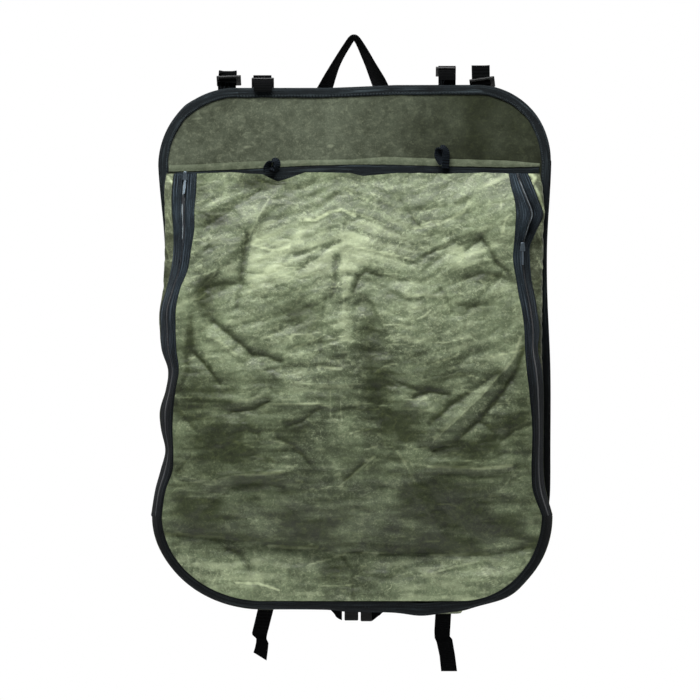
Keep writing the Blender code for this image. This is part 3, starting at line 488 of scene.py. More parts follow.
def gridPiece(name, look, columns, rows, place, size, wall=0.0, replaced=(), closed=False, marks=None, sewnEnds=1):
    # A grid whose points place(u, v) puts in millimetres: u across, v from first to last row; UV in metres,
    # with V from the nearer end where both ends are sewn; closed joins it up both ways
    bm = bmesh.new()
    uvLayer = bm.loops.layers.uv.new("UVMap")
    bmesh.ops.create_grid(bm, x_segments=columns, y_segments=rows, size=0.5, calc_uvs=True)
    for face in bm.faces:
        for corner in face.loops:
            along = 0.5 - corner.vert.co.y
            if sewnEnds == 2:
                along = min(along, 1 - along)
            corner[uvLayer].uv = ((corner.vert.co.x + 0.5) * size[0] * mm, along * size[1] * mm)
    layers = {key: bm.verts.layers.float.new(key) for key in (marks or {})}
    seam = []
    for vert in bm.verts:
        u, v = vert.co.x + 0.5, 0.5 - vert.co.y
        if closed and min(u, 1 - u, v, 1 - v) < 1e-5:
            seam.append(vert)
        point = Vector(place(u, v))
        for key, layer in layers.items():
            vert[layer] = marks[key](point.x, point.z)
        vert.co = point * mm
    if seam:
        bmesh.ops.remove_doubles(bm, verts=seam, dist=0.00002)
        bmesh.ops.recalc_face_normals(bm, faces=bm.faces)
    return finishPiece(name, bm, look, replaced, wall)


def topSag(x, z):
    return alongX(topSags, 1, x) * ease((z + 135) / 40)


def rimTrim(x):
    return sum(alongX(rimTrims, 1, x + step) for step in (-8, -4, 0, 4, 8)) / 5


def frontCorner(side, angle, inset):
    centre, width = (front["leftX"], front["leftWidth"]) if side < 0 else (front["rightX"], front["rightWidth"])
    x = centre + side * (width - inset) * math.cos(angle)
    return x, front["cornerZ"] - (front["cornerDepth"] - inset) * math.sin(angle)


def frontBottom(share, inset):
    # The straight part of the front's lower edge, between the corners
    x = front["leftX"] + (front["rightX"] - front["leftX"]) * share
    return x, front["cornerZ"] - front["cornerDepth"] + inset


def panelSide(side, t, inset):
    # Down one side of the board's outline: top corner, straight side, bottom corner
    corner, straight = sideEnds["corner"], sideEnds["straight"]
    name, column = ("left", 1) if side < 0 else ("right", 2)
    edge, radius = panel[name], panel[name + "Radius"]
    start = panel["top"] - radius
    if t < corner:
        angle = math.radians(90 * (1 - t / corner))
        x = edge - side * radius + side * (radius - inset) * math.cos(angle)
        z = start + (radius - inset) * math.sin(angle)
        return x, z + topSag(x, z)
    if t < straight:
        z = start + (front["cornerZ"] - start) * (t - corner) / (straight - corner)
        return edge + curveAt(panelBow, column, z) - side * inset, z
    angle = math.radians(90 * (t - straight) / (1 - straight))
    trim = rimTrim(frontCorner(side, angle, 0)[0]) * ease((t - straight) / 0.05)
    return frontCorner(side, angle, inset + panelInset + trim)


def panelRim(t, inset):
    # Round the board's whole outline, from the left of its top edge, down, across and up again
    left, bottom, right = rimEnds["left"], rimEnds["bottom"], rimEnds["right"]
    if t < left:
        return panelSide(-1, t / left, inset)
    if t < bottom:
        x, z = frontBottom((t - left) / (bottom - left), inset + panelInset)
        return x, z + rimTrim(x)
    if t < right:
        return panelSide(1, 1 - (t - bottom) / (right - bottom), inset)
    first, last = panelSide(1, 0, inset)[0], panelSide(-1, 0, inset)[0]
    x = first + (last - first) * (t - right) / (1 - right)
    return x, panel["top"] - inset + topSag(x, panel["top"])


# The back panel and its binding
board = {"columns": 120, "rows": 160, "wave": 1.0}
# x, y in the photograph, length, width, strength of the board's pale marks
boardWorn = (
    (196, 118, 10, 1.2, 0.8), (246, 146, 9, 1.0, 0.9), (330, 146, 6, 2.0, 0.8), (338, 96, 5, 1.0, 0.7),
    (472, 118, 8, 1.0, 0.3), (222, 138, 12, 1.0, 0.4), (300, 112, 10, 1.0, 0.4),
)


def boardStain(x, z):
    # The board is darker to the right, under a mottle
    right = ease((x + 30) / 190) * 0.85
    mottle = 0.35 * ripple(x, z, 60, 4.0) + 0.25 * ripple(x, z, 24, 8.0)
    return min(max(right + mottle * 0.7, 0.0), 1.0)


def boardMarks(x, z):
    total = 0.0
    for px, py, length, width, strength in boardWorn:
        atX, atZ = spot(px, py)
        far = ((x - atX) / length) ** 2 + ((z - atZ) / (width + 1)) ** 2
        total = max(total, strength * math.exp(-far))
    return min(total, 1.0)


def boardPlace(u, v):
    leftX, leftZ = panelSide(-1, v, 1.6)
    rightX, rightZ = panelSide(1, v, 1.6)
    x, z = leftX + (rightX - leftX) * u, leftZ + (rightZ - leftZ) * u
    edge = ease(min(u, 1 - u, v * 1.4, (1 - v) * 1.4) * 14)
    swell = board["wave"] * (0.6 * ripple(x, z, 90, 1.0) + 0.3 * ripple(x, z, 34, 2.0)) * edge
    return x, panel["thickness"] / 2 - swell * 0.5 - 0.2 * edge, z


gridPiece("backPanel", "panelCanvas", board["columns"], board["rows"], boardPlace, (498, 666), wall=2.6,
          replaced=["back_panel"], marks={"stainAndShading": boardStain, "wornAndHighlight": boardMarks})

binding = {"width": 12.5, "rows": 900, "wander": 0.7}
# inset from the outer edge, y
bindingProfile = (
    (0.9, -1.5), (4.0, -1.75), (8.5, -1.7), (11.8, -1.45), (12.5, -1.0), (12.3, -0.45), (6.0, -0.5), (1.2, -0.35),
    (1.0, 1.5), (1.2, 3.35), (6.0, 3.5), (12.3, 3.45), (12.5, 4.0), (11.8, 4.45), (8.5, 4.7), (4.0, 4.75), (0.9, 4.4),
    (0.1, 3.3), (-0.2, 1.5), (0.1, -0.4),
)


def bindingPlace(u, v):
    inset, y = bindingProfile[int(u * len(bindingProfile) + 0.5) % len(bindingProfile)]
    if inset > 3:
        x, z = panelRim(v % 1.0, 0.0)
        inset += binding["wander"] * ripple(x, z, 26, 5.0) * (inset / binding["width"])
    x, z = panelRim(v % 1.0, inset)
    return x, y + 0.25 * ripple(x, z, 14, 7.0) * (1 if y > 1.5 else -1), z


gridPiece("backBinding", "binding", len(bindingProfile), binding["rows"], bindingPlace, (30, 2140),
          replaced=["back_binding"], closed=True)
print("board and binding are made")

# Hem strip and top band: x, top, bottom
hemRows = (
    (-233.5, -159.0, -167.0), (-203.0, -158.2, -166.5), (-142.0, -154.7, -164.0), (-62.0, -152.4, -159.6),
    (-2.0, -151.9, -158.0), (41.0, -148.3, -158.0), (105.0, -150.6, -159.8), (195.0, -153.0, -161.6),
    (237.5, -156.8, -160.6),
)
bandRows = (
    (-225.0, -168.0, -181.0), (-203.0, -167.4, -182.0), (-142.0, -164.9, -183.0), (-62.0, -160.5, -178.0),
    (-2.0, -158.9, -178.0), (56.0, -158.9, -178.0), (124.0, -161.3, -178.0), (195.0, -162.9, -178.0),
    (228.0, -161.8, -176.0), (229.0, -161.8, -169.6), (236.5, -161.6, -169.4),
)


def stripPlace(rows, y, lift):
    first, last = rows[0][0], rows[-1][0]

    def place(u, v):
        x = first + (last - first) * v
        top, bottom = alongX(rows, 1, x), alongX(rows, 2, x)
        z = bottom + (top - bottom) * u + 0.35 * ripple(x, 0, 12, 3.0 + y)
        return x, y - lift * (1 - abs(2 * u - 1)) + 0.2 * ripple(x, z, 20, 6.0), z
    return place


gridPiece("hemStrip", "hemCanvas", 6, 200, stripPlace(hemRows, -0.9, 0.35), (8, 471), wall=0.9,
          replaced=["hem_strip"])
gridPiece("topBand", "binding", 8, 200, stripPlace(bandRows, -0.95, 0.25), (13, 454), wall=0.9,
          replaced=["top_band"])

# The front cloth
cloth = {
    "columns": 214, "rows": 226, "wall": 1.8, "straight": 0.77, "taper": 22.0, "overhang": 0.6, "crease": 1.1,
    "crumple": (1.4, 0.6, 0.25), "crumpleSize": (62.0, 27.0, 12.0), "foldRise": 0.68, "stainAndShadingRise": 1.45,
}
# In the photograph: down to where the cloth is slung, over how far that fades, and where its slant turns
drape = {"slungTo": 300, "fade": 120, "middle": 345, "turn": 415}
# height, depth down the middle of the cloth
belly = (
    (-160, 3.2), (-180, 5), (-216, 16), (-254, 27), (-305, 40), (-356, 50), (-406, 57), (-457, 62), (-508, 64),
    (-546, 61), (-584, 52), (-610, 42), (-634, 30), (-648, 26), (-665, 27), (-690, 31), (-713, 34),
)
# x, z along the wavy top edge
clothTop = (
    (-198, -170), (-155, -168), (-114, -171), (-95, -180), (-79, -175), (-60, -168), (-3, -169), (14, -173),
    (56, -169), (125, -170), (163, -169), (198, -170),
)
# rise, width, then x and y of each point of a fold in the photograph: ridges rise above 0, valleys below
folds = (
    (6, 16, 283, 184, 264, 208, 245, 238, 222, 264, 190, 292), (-6, 9, 247, 236, 243, 262, 240, 282),
    (-6, 14, 222, 268, 206, 288, 196, 314, 184, 347), (-5, 8, 228, 213, 203, 228),
    (-6, 9, 256, 178, 272, 184, 284, 184), (-4, 7, 207, 288, 235, 284), (-3, 4, 244, 281, 239, 293, 237, 307),
    (-8, 8, 213, 322, 232, 337, 250, 352), (4, 8, 207, 336, 225, 346, 243, 358),
    (-5, 7, 252, 355, 264, 355, 280, 362), (-6, 6, 193, 352, 208, 368, 220, 384),
    (-5, 10, 186, 352, 188, 372, 178, 392), (5, 13, 341, 212, 343, 250, 344, 300, 343, 360, 341, 400),
    (-4, 7, 336, 258, 334, 285, 331, 300), (-3, 6, 325, 298, 321, 318, 320, 350),
    (-5, 7, 353, 293, 358, 277, 366, 272, 380, 277), (-6, 13, 358, 306, 366, 300, 374, 318, 380, 345),
    (-6, 15, 364, 330, 374, 372, 384, 408, 394, 432), (4, 6, 356, 297, 364, 295, 374, 304, 386, 328, 396, 346),
    (-1.4, 3, 379, 271, 402, 279, 418, 281, 431, 278, 441, 269), (-3, 3, 421, 257, 441, 248),
    (-2, 3, 426, 268, 438, 260), (-3, 4, 399, 201, 407, 213, 417, 226),
    (-2, 5, 442, 188, 449, 196, 456, 205, 466, 202), (-7, 6, 480, 238, 487, 248, 496, 264, 506, 272, 513, 281),
    (-4, 5, 465, 250, 480, 240), (-5, 9, 464, 279, 480, 274, 500, 277, 512, 282),
    (4, 7, 462, 268, 480, 262, 497, 258), (-4, 8, 458, 306, 474, 307, 490, 305),
    (-3, 4, 440, 290, 446, 300, 451, 312), (3, 5, 404, 297, 422, 296, 440, 297),
    (2, 4, 340, 210, 361, 215, 389, 227), (2, 4, 354, 247, 382, 253, 413, 260),
    (-5, 12, 288, 310, 300, 305, 312, 310), (-4, 16, 268, 340, 290, 324),
    (7, 10, 520, 336, 513, 356, 501, 371, 480, 395, 456, 418, 432, 440),
    (-7, 8, 522, 348, 516, 368, 504, 388, 484, 412, 460, 436, 432, 450),
    (-4, 9, 498, 372, 474, 388, 450, 405, 428, 424), (-5, 6, 478, 421, 486, 426, 493, 431),
    (-4, 6, 418, 446, 455, 446, 493, 440), (3, 6, 394, 411, 415, 408, 448, 415),
    (-5, 6, 412, 398, 428, 391, 447, 394), (-4, 6, 386, 376, 410, 388, 424, 391),
    (-6, 12, 376, 390, 386, 420, 400, 440), (4, 5, 426, 467, 452, 466, 477, 469, 510, 465),
    (-4, 6, 424, 473, 452, 473, 480, 475), (-4, 6, 500, 440, 512, 430, 528, 424),
    (-6, 6, 232, 410, 252, 409, 268, 401), (4, 6, 232, 402, 250, 400, 264, 396),
    (-5, 8, 232, 433, 246, 429, 259, 434), (3, 4, 262, 405, 290, 405, 317, 404, 330, 407),
    (2, 3, 295, 383, 325, 386, 360, 384), (-4, 6, 285, 427, 302, 420, 318, 408),
    (-5, 5, 277, 437, 293, 445, 309, 462), (3, 4, 262, 440, 280, 440, 296, 445),
    (5, 7, 179, 474, 200, 480, 211, 481, 230, 475, 249, 473, 281, 472),
    (-6, 8, 213, 488, 239, 482, 262, 482, 283, 486), (4, 6, 283, 489, 292, 500, 310, 505),
    (-6, 16, 184, 528, 206, 508, 222, 494), (3, 6, 180, 526, 200, 504, 214, 490),
    (-9, 9, 166, 533, 200, 535, 224, 537, 246, 540, 268, 543, 292, 545, 316, 547),
    (-6, 9, 316, 547, 338, 553, 360, 551), (-4, 9, 227, 548, 240, 554, 249, 568),
    (-4, 12, 322, 556, 332, 572, 338, 590), (-5, 9, 340, 556, 352, 572, 352, 598),
    (5, 12, 396, 450, 413, 488, 429, 513, 442, 539), (-7, 16, 424, 480, 440, 505, 462, 530, 484, 542),
    (-9, 9, 380, 554, 404, 553, 429, 552, 459, 553, 488, 553, 512, 549, 534, 544),
    (-6, 12, 348, 536, 378, 540, 420, 546), (3, 6, 442, 539, 462, 544, 484, 552),
    (-3, 7, 360, 575, 385, 577, 404, 572), (3, 5, 430, 572, 454, 566, 477, 561),
    (2, 4, 477, 566, 485, 575, 493, 585), (-3, 7, 240, 457, 262, 452, 285, 450),
    (-3, 6, 344, 480, 352, 472, 362, 462), (-3, 8, 174, 404, 186, 420, 200, 434), (3, 6, 186, 404, 200, 403),
    (-3, 5, 196, 440, 190, 456, 178, 470),
)
# strength, width, then x and y of each point of a pale scratch or worn crease; some rows are painted highlights along
# the crests of ridges
scratchesAndHighlights = (
    (0.9, 2.0, 304, 220, 314, 221, 328, 213, 341, 210, 354, 216), (0.8, 2.0, 253, 245, 272, 251, 289, 247),
    (0.6, 1.6, 340, 210, 361, 215, 389, 227), (0.7, 1.6, 354, 247, 382, 253, 413, 260),
    (0.6, 2.2, 414, 229, 438, 225, 463, 212, 468, 201), (0.5, 1.8, 272, 279, 290, 273, 307, 269),
    (0.6, 1.8, 279, 331, 290, 338, 293, 335), (0.7, 1.8, 318, 366, 330, 368, 341, 369),
    (0.6, 1.6, 295, 382, 325, 386, 360, 384), (0.7, 1.8, 262, 404, 290, 404, 317, 403, 331, 407),
    (0.5, 1.6, 330, 390, 330, 418), (0.7, 1.8, 270, 439, 290, 444, 304, 455),
    (0.8, 2.2, 246, 474, 262, 473, 284, 471), (0.7, 1.8, 166, 533, 200, 535, 224, 537),
    (0.8, 2.2, 268, 545, 292, 547, 316, 547), (1.0, 1.6, 236, 582, 258, 583, 278, 589),
    (0.8, 2.0, 426, 466, 452, 466, 477, 468, 510, 465), (0.8, 1.8, 519, 336, 513, 356, 503, 370),
    (0.6, 1.8, 396, 450, 405, 465, 416, 484, 424, 488), (0.7, 2.0, 430, 555, 459, 554, 488, 553),
    (0.6, 1.8, 430, 573, 454, 566, 477, 561), (0.7, 1.6, 477, 566, 485, 575, 493, 585),
    (0.6, 2.0, 510, 538, 522, 541, 534, 544), (0.6, 1.6, 362, 462, 374, 456, 340, 484),
    (0.5, 3.0, 232, 402, 250, 400, 262, 394), (0.5, 1.6, 480, 520, 500, 521),
    (0.5, 1.6, 511, 470, 507, 480, 497, 492), (0.6, 1.6, 207, 336, 222, 342, 236, 356),
    (0.5, 2.0, 190, 300, 204, 285, 216, 272), (0.5, 1.6, 222, 244, 244, 243),
    (0.5, 1.8, 404, 297, 422, 296, 442, 297), (0.5, 1.4, 440, 246, 452, 243, 464, 250),
    (0.6, 1.6, 218, 571, 212, 583), (0.5, 1.4, 386, 585, 384, 594), (0.5, 1.6, 366, 551, 350, 554),
    (0.5, 1.2, 350, 195, 369, 200, 390, 204), (0.5, 1.2, 350, 212, 369, 220, 389, 227),
    (0.5, 1.4, 360, 248, 381, 253, 410, 260), (0.6, 1.6, 412, 228, 431, 222, 445, 222, 458, 215),
    (0.4, 1.4, 366, 264, 381, 273, 397, 278, 412, 280, 427, 276), (0.5, 2.4, 406, 294, 425, 296, 442, 296),
    (0.4, 5.0, 518, 342, 502, 366, 482, 390, 458, 412, 436, 434), (0.4, 3.0, 341, 225, 343, 262, 343, 320),
    (0.35, 2.0, 351, 246, 352, 284), (0.5, 1.4, 252, 290, 284, 282, 320, 272), (0.5, 1.4, 270, 258, 304, 262),
    (0.45, 1.4, 250, 302, 290, 293, 326, 288), (0.5, 1.8, 269, 199, 258, 216, 248, 238),
    (0.5, 4.0, 262, 244, 282, 242, 302, 243), (0.4, 1.4, 345, 302, 362, 295, 373, 301, 382, 322, 392, 344),
    (0.5, 1.6, 401, 371, 418, 378, 448, 386), (0.5, 2.2, 402, 408, 422, 409, 446, 415),
    (0.5, 1.8, 480, 423, 497, 428, 510, 429, 526, 420), (0.5, 1.6, 170, 486, 205, 492, 217, 486),
    (0.6, 1.4, 340, 400, 341, 420), (0.5, 1.4, 308, 386, 330, 388, 352, 388),
)
# x, y, half width, half height, strength of each patch in the photograph: dark above 0, pale below; partly stains,
# partly painted shade and painted light
stainAndShadingPatches = (
    (352, 194, 170, 26, 0.12), (355, 212, 40, 14, 0.12), (214, 220, 18, 11, 0.75), (199, 190, 8, 16, 0.4),
    (262, 184, 26, 6, 0.8), (240, 250, 7, 22, 0.45), (205, 296, 9, 26, 0.65), (190, 336, 6, 22, 0.6),
    (298, 318, 26, 18, 0.5), (368, 335, 14, 30, 0.5), (379, 380, 18, 30, 0.5), (395, 425, 24, 18, 0.6),
    (336, 292, 8, 22, 0.25), (476, 276, 28, 6, 0.5), (474, 309, 18, 7, 0.4), (230, 445, 40, 16, 0.3),
    (262, 482, 38, 7, 0.45), (205, 515, 26, 17, 0.6), (310, 527, 28, 18, 0.6), (420, 545, 50, 9, 0.6),
    (331, 570, 14, 20, 0.6), (355, 578, 18, 24, 0.45), (450, 505, 48, 30, 0.65), (470, 448, 34, 12, 0.4),
    (520, 420, 10, 40, 0.3), (190, 385, 12, 30, 0.4), (395, 576, 18, 6, 0.3), (180, 500, 10, 26, 0.3),
    (505, 530, 20, 14, 0.4), (438, 370, 30, 20, 0.25), (300, 426, 22, 12, 0.25), (225, 448, 44, 26, 0.35),
    (212, 388, 26, 20, 0.3), (222, 284, 16, 9, 0.6), (345, 530, 30, 14, 0.25), (346, 252, 50, 34, -0.4),
    (262, 262, 28, 26, -0.5), (240, 212, 20, 16, -0.15), (470, 250, 30, 12, -0.2), (455, 350, 40, 18, -0.2),
    (344, 330, 6, 60, -0.3), (260, 352, 24, 10, -0.3), (474, 402, 32, 12, -0.45), (340, 430, 20, 30, -0.16),
    (250, 565, 50, 12, -0.12), (455, 572, 44, 14, -0.14), (260, 398, 20, 4, -0.3),
)


def slungShare(py):
    # The cloth is slung from its upper corners, and hangs level further down
    return 1 - ease((py - drape["slungTo"]) / drape["fade"])


def streaksAt(x, z, wide, tall, seed):
    # Noise drawn out along the cloth's slung lines
    px, py = x / pixel + originX, originY - z / pixel
    if px < drape["middle"]:
        sling = 0.38 * (drape["middle"] - px)
    elif px < drape["turn"]:
        sling = 0.3 * (px - drape["middle"])
    else:
        sling = 21 - 0.4 * (px - drape["turn"])
    return noise.noise(Vector((px / wide, seed, (py - sling * slungShare(py)) / tall)))


def linesOf(rows):
    # Each line's two facts, its points in millimetres, and the box that it can reach
    made = []
    for strength, width, *points in rows:
        path = [spot(*point) for point in zip(points[::2], points[1::2])]
        reach = width * 2.6
        box = (
            min(p[0] for p in path) - reach, max(p[0] for p in path) + reach,
            min(p[1] for p in path) - reach, max(p[1] for p in path) + reach,
        )
        made.append((strength, width, path, box))
    return made


def distanceTo(path, x, z):
    # How far the path is, and how far the point lies straight above it (1) or below it (-1)
    best, above = 1e9, 0.0
    for (x0, z0), (x1, z1) in zip(path, path[1:]):
        runX, runZ = x1 - x0, z1 - z0
        t = min(max(((x - x0) * runX + (z - z0) * runZ) / (runX * runX + runZ * runZ), 0.0), 1.0)
        far = math.hypot(x - x0 - runX * t, z - z0 - runZ * t)
        if far < best:
            best, above = far, (z - z0 - runZ * t) / (far + 0.5)
    return best, above


def near(lines, x, z):
    # The lines that reach the point: each one's facts, how far it is, and whether the point lies above it
    for fact, width, path, box in lines:
        if box[0] < x < box[1] and box[2] < z < box[3]:
            yield (fact, width, *distanceTo(path, x, z))


def drapeAngle(px, py):
    # The way the cloth's fine lines run
    if px < drape["middle"]:
        return -0.38 * slungShare(py)
    return (0.34 - 0.75 * ease((px - 370) / 90)) * slungShare(py)


def strayLines(seed, count, rise, width, length):
    # Short lines strewn along the drape
    pick = random.Random(seed)
    rows = []
    for _ in range(count):
        px, py = pick.uniform(178, 530), pick.uniform(185, 592)
        angle = drapeAngle(px, py) + pick.gauss(0.0, 0.22)
        reach, sag = pick.uniform(*length) / 2, pick.uniform(-2.5, 2.5)
        across, down = reach * math.cos(angle), reach * math.sin(angle)
        rows.append((pick.uniform(*rise), pick.uniform(*width), px - across, py - down, px + sag * 0.3, py + sag,
                     px + across, py + down))
    return rows


foldLines = linesOf(folds + tuple(strayLines(5, 110, (-2.2, -0.8), (2.4, 4.4), (12, 46))))
scratchAndHighlightLines = linesOf(scratchesAndHighlights + tuple(strayLines(9, 210, (0.25, 0.75), (0.8, 1.4), (5, 40))))
# Only narrow folds leave a line: ridges wear pale along theirs (1), valleys get painted shade in theirs (-1)
creaseLines = {sign: [line for line in foldLines if line[0] * sign > 0 and line[1] < 11] for sign in (1, -1)}


def foldHeight(x, z):
    total = 0.0
    for rise, width, far, above in near(foldLines, x, z):
        # Cloth falls over a ridge and tucks under it: the side that faces down is the steep one
        spread = width * (1.1 + cloth["overhang"] * (above if rise > 0 else -above))
        total += rise * math.exp(-((far / spread) ** cloth["crease"]))
    return total * cloth["foldRise"]


def crumpleHeight(x, z):
    # Stiff creased cloth: noise folded over at its zero line, which leaves sharp ridges
    warpX, warpZ = 14 * ripple(x, z, 55, 11.0), 14 * ripple(x, z, 55, 12.0)
    total = 0.0
    for index, (rise, size) in enumerate(zip(cloth["crumple"], cloth["crumpleSize"])):
        total += rise * (0.5 - 2.0 * abs(ripple((x + warpX) * 0.75, z + warpZ, size, 20.0 + index)))
    return total + 0.9 * streaksAt(x, z, 44, 8, 57.0) + 0.4 * streaksAt(x, z, 24, 4.5, 58.0)


def creaseMark(x, z, sign):
    total = 0.0
    for rise, width, far, above in near(creaseLines[sign], x, z):
        # The shade of a valley spreads over the slope above it
        reach = 1.1 + 0.08 * width if sign > 0 else (1.4 + 0.24 * width) * (1.3 + 0.6 * above)
        total = max(total, min(abs(rise) / 5, 1.0) * bell(far / reach))
    return total


def creaseRim(x, z):
    # The edge just under a valley catches the light
    total = 0.0
    for rise, _, far, above in near(creaseLines[-1], x, z):
        total = max(total, min(abs(rise) / 5, 1.0) * max(-above, 0) * bell((far - 2.4) / 1.3))
    return total


def clothWornAndHighlight(x, z):
    # Worn ridges and scratches, with painted highlights along the rims under valleys and along some ridges
    total = max(0.6 * creaseMark(x, z, 1), 0.55 * creaseRim(x, z))
    for strength, width, far, _ in near(scratchAndHighlightLines, x, z):
        far += 1.0 * ripple(x, z, 9, 31.0)
        total = max(total, strength * bell(far / (width * 1.3)))
    ridge = abs(ripple(x * 0.75 + 10 * ripple(x, z, 55, 11.0), z, 27, 21.0))
    total = max(total, 0.6 * bell(ridge / 0.03) * ease(ripple(x, z, 70, 41.0) * 3 + 0.2))
    return min(total, 1.0)


def clothStainAndShading(x, z):
    # Patches from the table (stains, painted shade and painted light), painted shade in the valleys, then mottle and
    # streaks along the drape that also paint shade and light; all darker and stronger low down
    total = 0.0
    shiftX, shiftZ = 8 * ripple(x, z, 26, 54.0), 6 * ripple(x, z, 18, 55.0)
    for px, py, halfX, halfY, strength in stainAndShadingPatches:
        atX, atZ = spot(px, py)
        far = ((x + shiftX - atX) / (halfX * pixel)) ** 2 + ((z + shiftZ - atZ) / (halfY * pixel)) ** 2
        if far < 4:
            total += cloth["stainAndShadingRise"] * strength * math.exp(-(far**1.15))
    crease = min(0.85 * creaseMark(x, z, -1), 1)
    total = max(total, crease, 0) + 0.62 * min(total, 0) * (1 - crease)
    low = 0.42 * ease((-330 - z) / 170) * (1 - ease((-640 - z) / 20))
    total += 0.4 * ripple(x, z, 50, 52.0) * (0.4 + low) + 0.12 * ripple(x, z, 19, 53.0)
    streaks = 0.34 * streaksAt(x, z, 40, 7, 55.0) + 0.22 * streaksAt(x, z, 20, 3.6, 56.0)
    return min(max(total + low + streaks * (1 + 1.5 * low), -1), 1)


def clothSpan(v):
    # Left and right edge, height and edge depths of one row of the front cloth
    if v <= cloth["straight"]:
        z = front["top"] + (front["cornerZ"] - front["top"]) * v / cloth["straight"]
        left = curveAt(leftZip, 1, z) + front["gap"]
        right = curveAt(rightZip, 1, z) - front["gap"]
        return left, right, z, curveAt(leftZip, 3, z), curveAt(rightZip, 3, z)
    angle = math.radians(90 * (v - cloth["straight"]) / (1 - cloth["straight"]))
    left, z = frontCorner(-1, angle, front["band"] + front["gap"])
    right, _ = frontCorner(1, angle, front["band"] + front["gap"])
    return left, right, z, front["lip"], front["lip"]


spanOfRow = {}


def clothPlace(u, v):
    if v not in spanOfRow:
        spanOfRow[v] = clothSpan(v)
    left, right, z, leftDepth, rightDepth = spanOfRow[v]
    x = left + (right - left) * u
    edge = leftDepth + (rightDepth - leftDepth) * u
    rise = curveAt(belly, 1, z) - (leftDepth + rightDepth) / 2
    depth = edge + rise * (1 - abs(2 * u - 1) ** 2.4)
    reach = min(x - left, right - x, front["top"] - z, z - frontBottom(0, front["band"])[1])
    depth += ease(reach / cloth["taper"]) * (foldHeight(x, z) + crumpleHeight(x, z))
    wave = alongX(clothTop, 1, x) - front["top"] + 0.6 * ripple(x, 0, 16, 61.0)
    return x, -depth, z + wave * ease(1 - (front["top"] - z) / 16)


frontCloth = gridPiece(
    "frontCloth", "frontCanvas", cloth["columns"], cloth["rows"], clothPlace, (450, 560), wall=cloth["wall"],
    replaced=["front_panel"], marks={"wornAndHighlight": clothWornAndHighlight, "stainAndShading": clothStainAndShading},
)
print("front cloth is made")

# The side zips
zips = {
    "coil": 0.055, "teethGap": 0.024, "openGap": 0.012, "wall": 1.6, "pitch": 1.7, "teeth": 0.5,
    "closedBelow": -254.0, "openAbove": -253.0, "tuck": 1.2,
}


def zipPoint(rows, z, t):
    inner, outer = curveAt(rows, 1, z), curveAt(rows, 2, z)
    depth = curveAt(rows, 3, z) - curveAt(rows, 4, z) * t * t
    split, gape = curveAt(rows, 6, z), curveAt(rows, 5, z) / 2
    if t < split:
        depth += gape * (t / split) ** 2
    else:
        depth -= gape * ((1 - t) / (1 - split)) ** 2
    return Vector((inner + (outer - inner) * t, -depth, z))


def teethHighlight(rows, edge, wide):
    # A painted highlight: a thin bright line, edge from the middle of the teeth, along the zip's upper end
    def marked(x, z):
        middle = curveAt(rows, 1, z) + (curveAt(rows, 2, z) - curveAt(rows, 1, z)) * curveAt(rows, 6, z)
        line = bell(((x - middle) - edge) / wide)
        return 1.2 * line * ease((z + 266) / 20) * ease(2.0 * ripple(x * 0.2, z, 14, 72.0) + 0.6)
    return marked


def zipStrip(name, look, rows, ends, span, columns, count, replaced):
    # span is the strip's two edges across the zip, from the middle of its teeth, or from 0 or 1 at the cloth
    top, bottom = ends
    teeth = zips["teeth"] if look == "teeth" else 0.0

    def place(u, v):
        z = top + (bottom - top) * v
        first, last = span(curveAt(rows, 6, z))
        point = zipPoint(rows, z, first + (last - first) * u)
        if teeth:
            turn = z * 2 * math.pi / zips["pitch"] + (math.pi if u > 0.5 else 0)
            point.y -= teeth * (0.5 + 0.5 * math.sin(turn))
        else:
            point.y += 0.35 * ripple(point.x, z, 18, 71.0) * ease(min(v, 1 - v) * 12)
        return point
    marks = {"wornAndHighlight": teethHighlight(rows, -1.6 if rows is leftZip else 0.3, 0.6)} if teeth else None
    return gridPiece(name, look, columns, count, place, (14, abs(bottom - top)), wall=zips["wall"],
                     replaced=[replaced], marks=marks)


coil, gap, openGap = zips["coil"], zips["teethGap"], zips["openGap"]
for side, rows in (("left", leftZip), ("right", rightZip)):
    ends = front["top"], front["cornerZ"] - zips["tuck"]
    title = side.capitalize()
    zipStrip("frontTape" + title, "zipTape", rows, ends, lambda split: (0, split - coil - gap), 6, 240,
             "front_tape_" + side)
    zipStrip("rearTape" + title, "zipTape", rows, ends, lambda split: (split + coil + gap, 1), 6, 240,
             "rear_tape_" + side)
    top = front["top"] if side == "left" else zips["closedBelow"]
    zipStrip("coil" + title, "teeth", rows, (top, ends[1]), lambda split: (split - coil, split + coil), 4, 900,
             "coil_" + side)
ends = front["top"], zips["openAbove"]
zipStrip("coilRightFront", "teeth", rightZip, ends, lambda split: (split - coil, split - openGap), 3, 240,
         "coil_right_front")
zipStrip("coilRightRear", "teeth", rightZip, ends, lambda split: (split + openGap, split + coil), 3, 240,
         "coil_right_rear")
print("zips are made")

# Gussets and lower binding
gusset = {"wall": 1.8, "seamInset": 17.0, "seamY": -1.35, "overBinding": 3.4, "pleat": 1.6}
# height, left, right
bulge = (
    (-170, -236, 236), (-190, -238, 240.5), (-241, -237, 241), (-318, -238.5, 239.5), (-368, -239.5, 239),
    (-400, -233, 239), (-419, -229.5, 239), (-440, -230, 239), (-470, -238, 239), (-490, -237, 239), (-508, -230, 239),
    (-521, -229, 239), (-540, -232, 239), (-572, -243, 241.5), (-603, -249, 248),
)


def gussetCurve(start, root, bulgeX, bulgeZ, t):
    control = Vector((
        2 * bulgeX - (start.x + root.x) / 2, start.y * 0.8 + root.y * 0.2, 2 * bulgeZ - (start.z + root.z) / 2,
    ))
    point = start * (1 - t) ** 2 + control * 2 * t * (1 - t) + root * t * t
    if t < 0.99:
        point.y = min(point.y, -gusset["overBinding"])
    return point


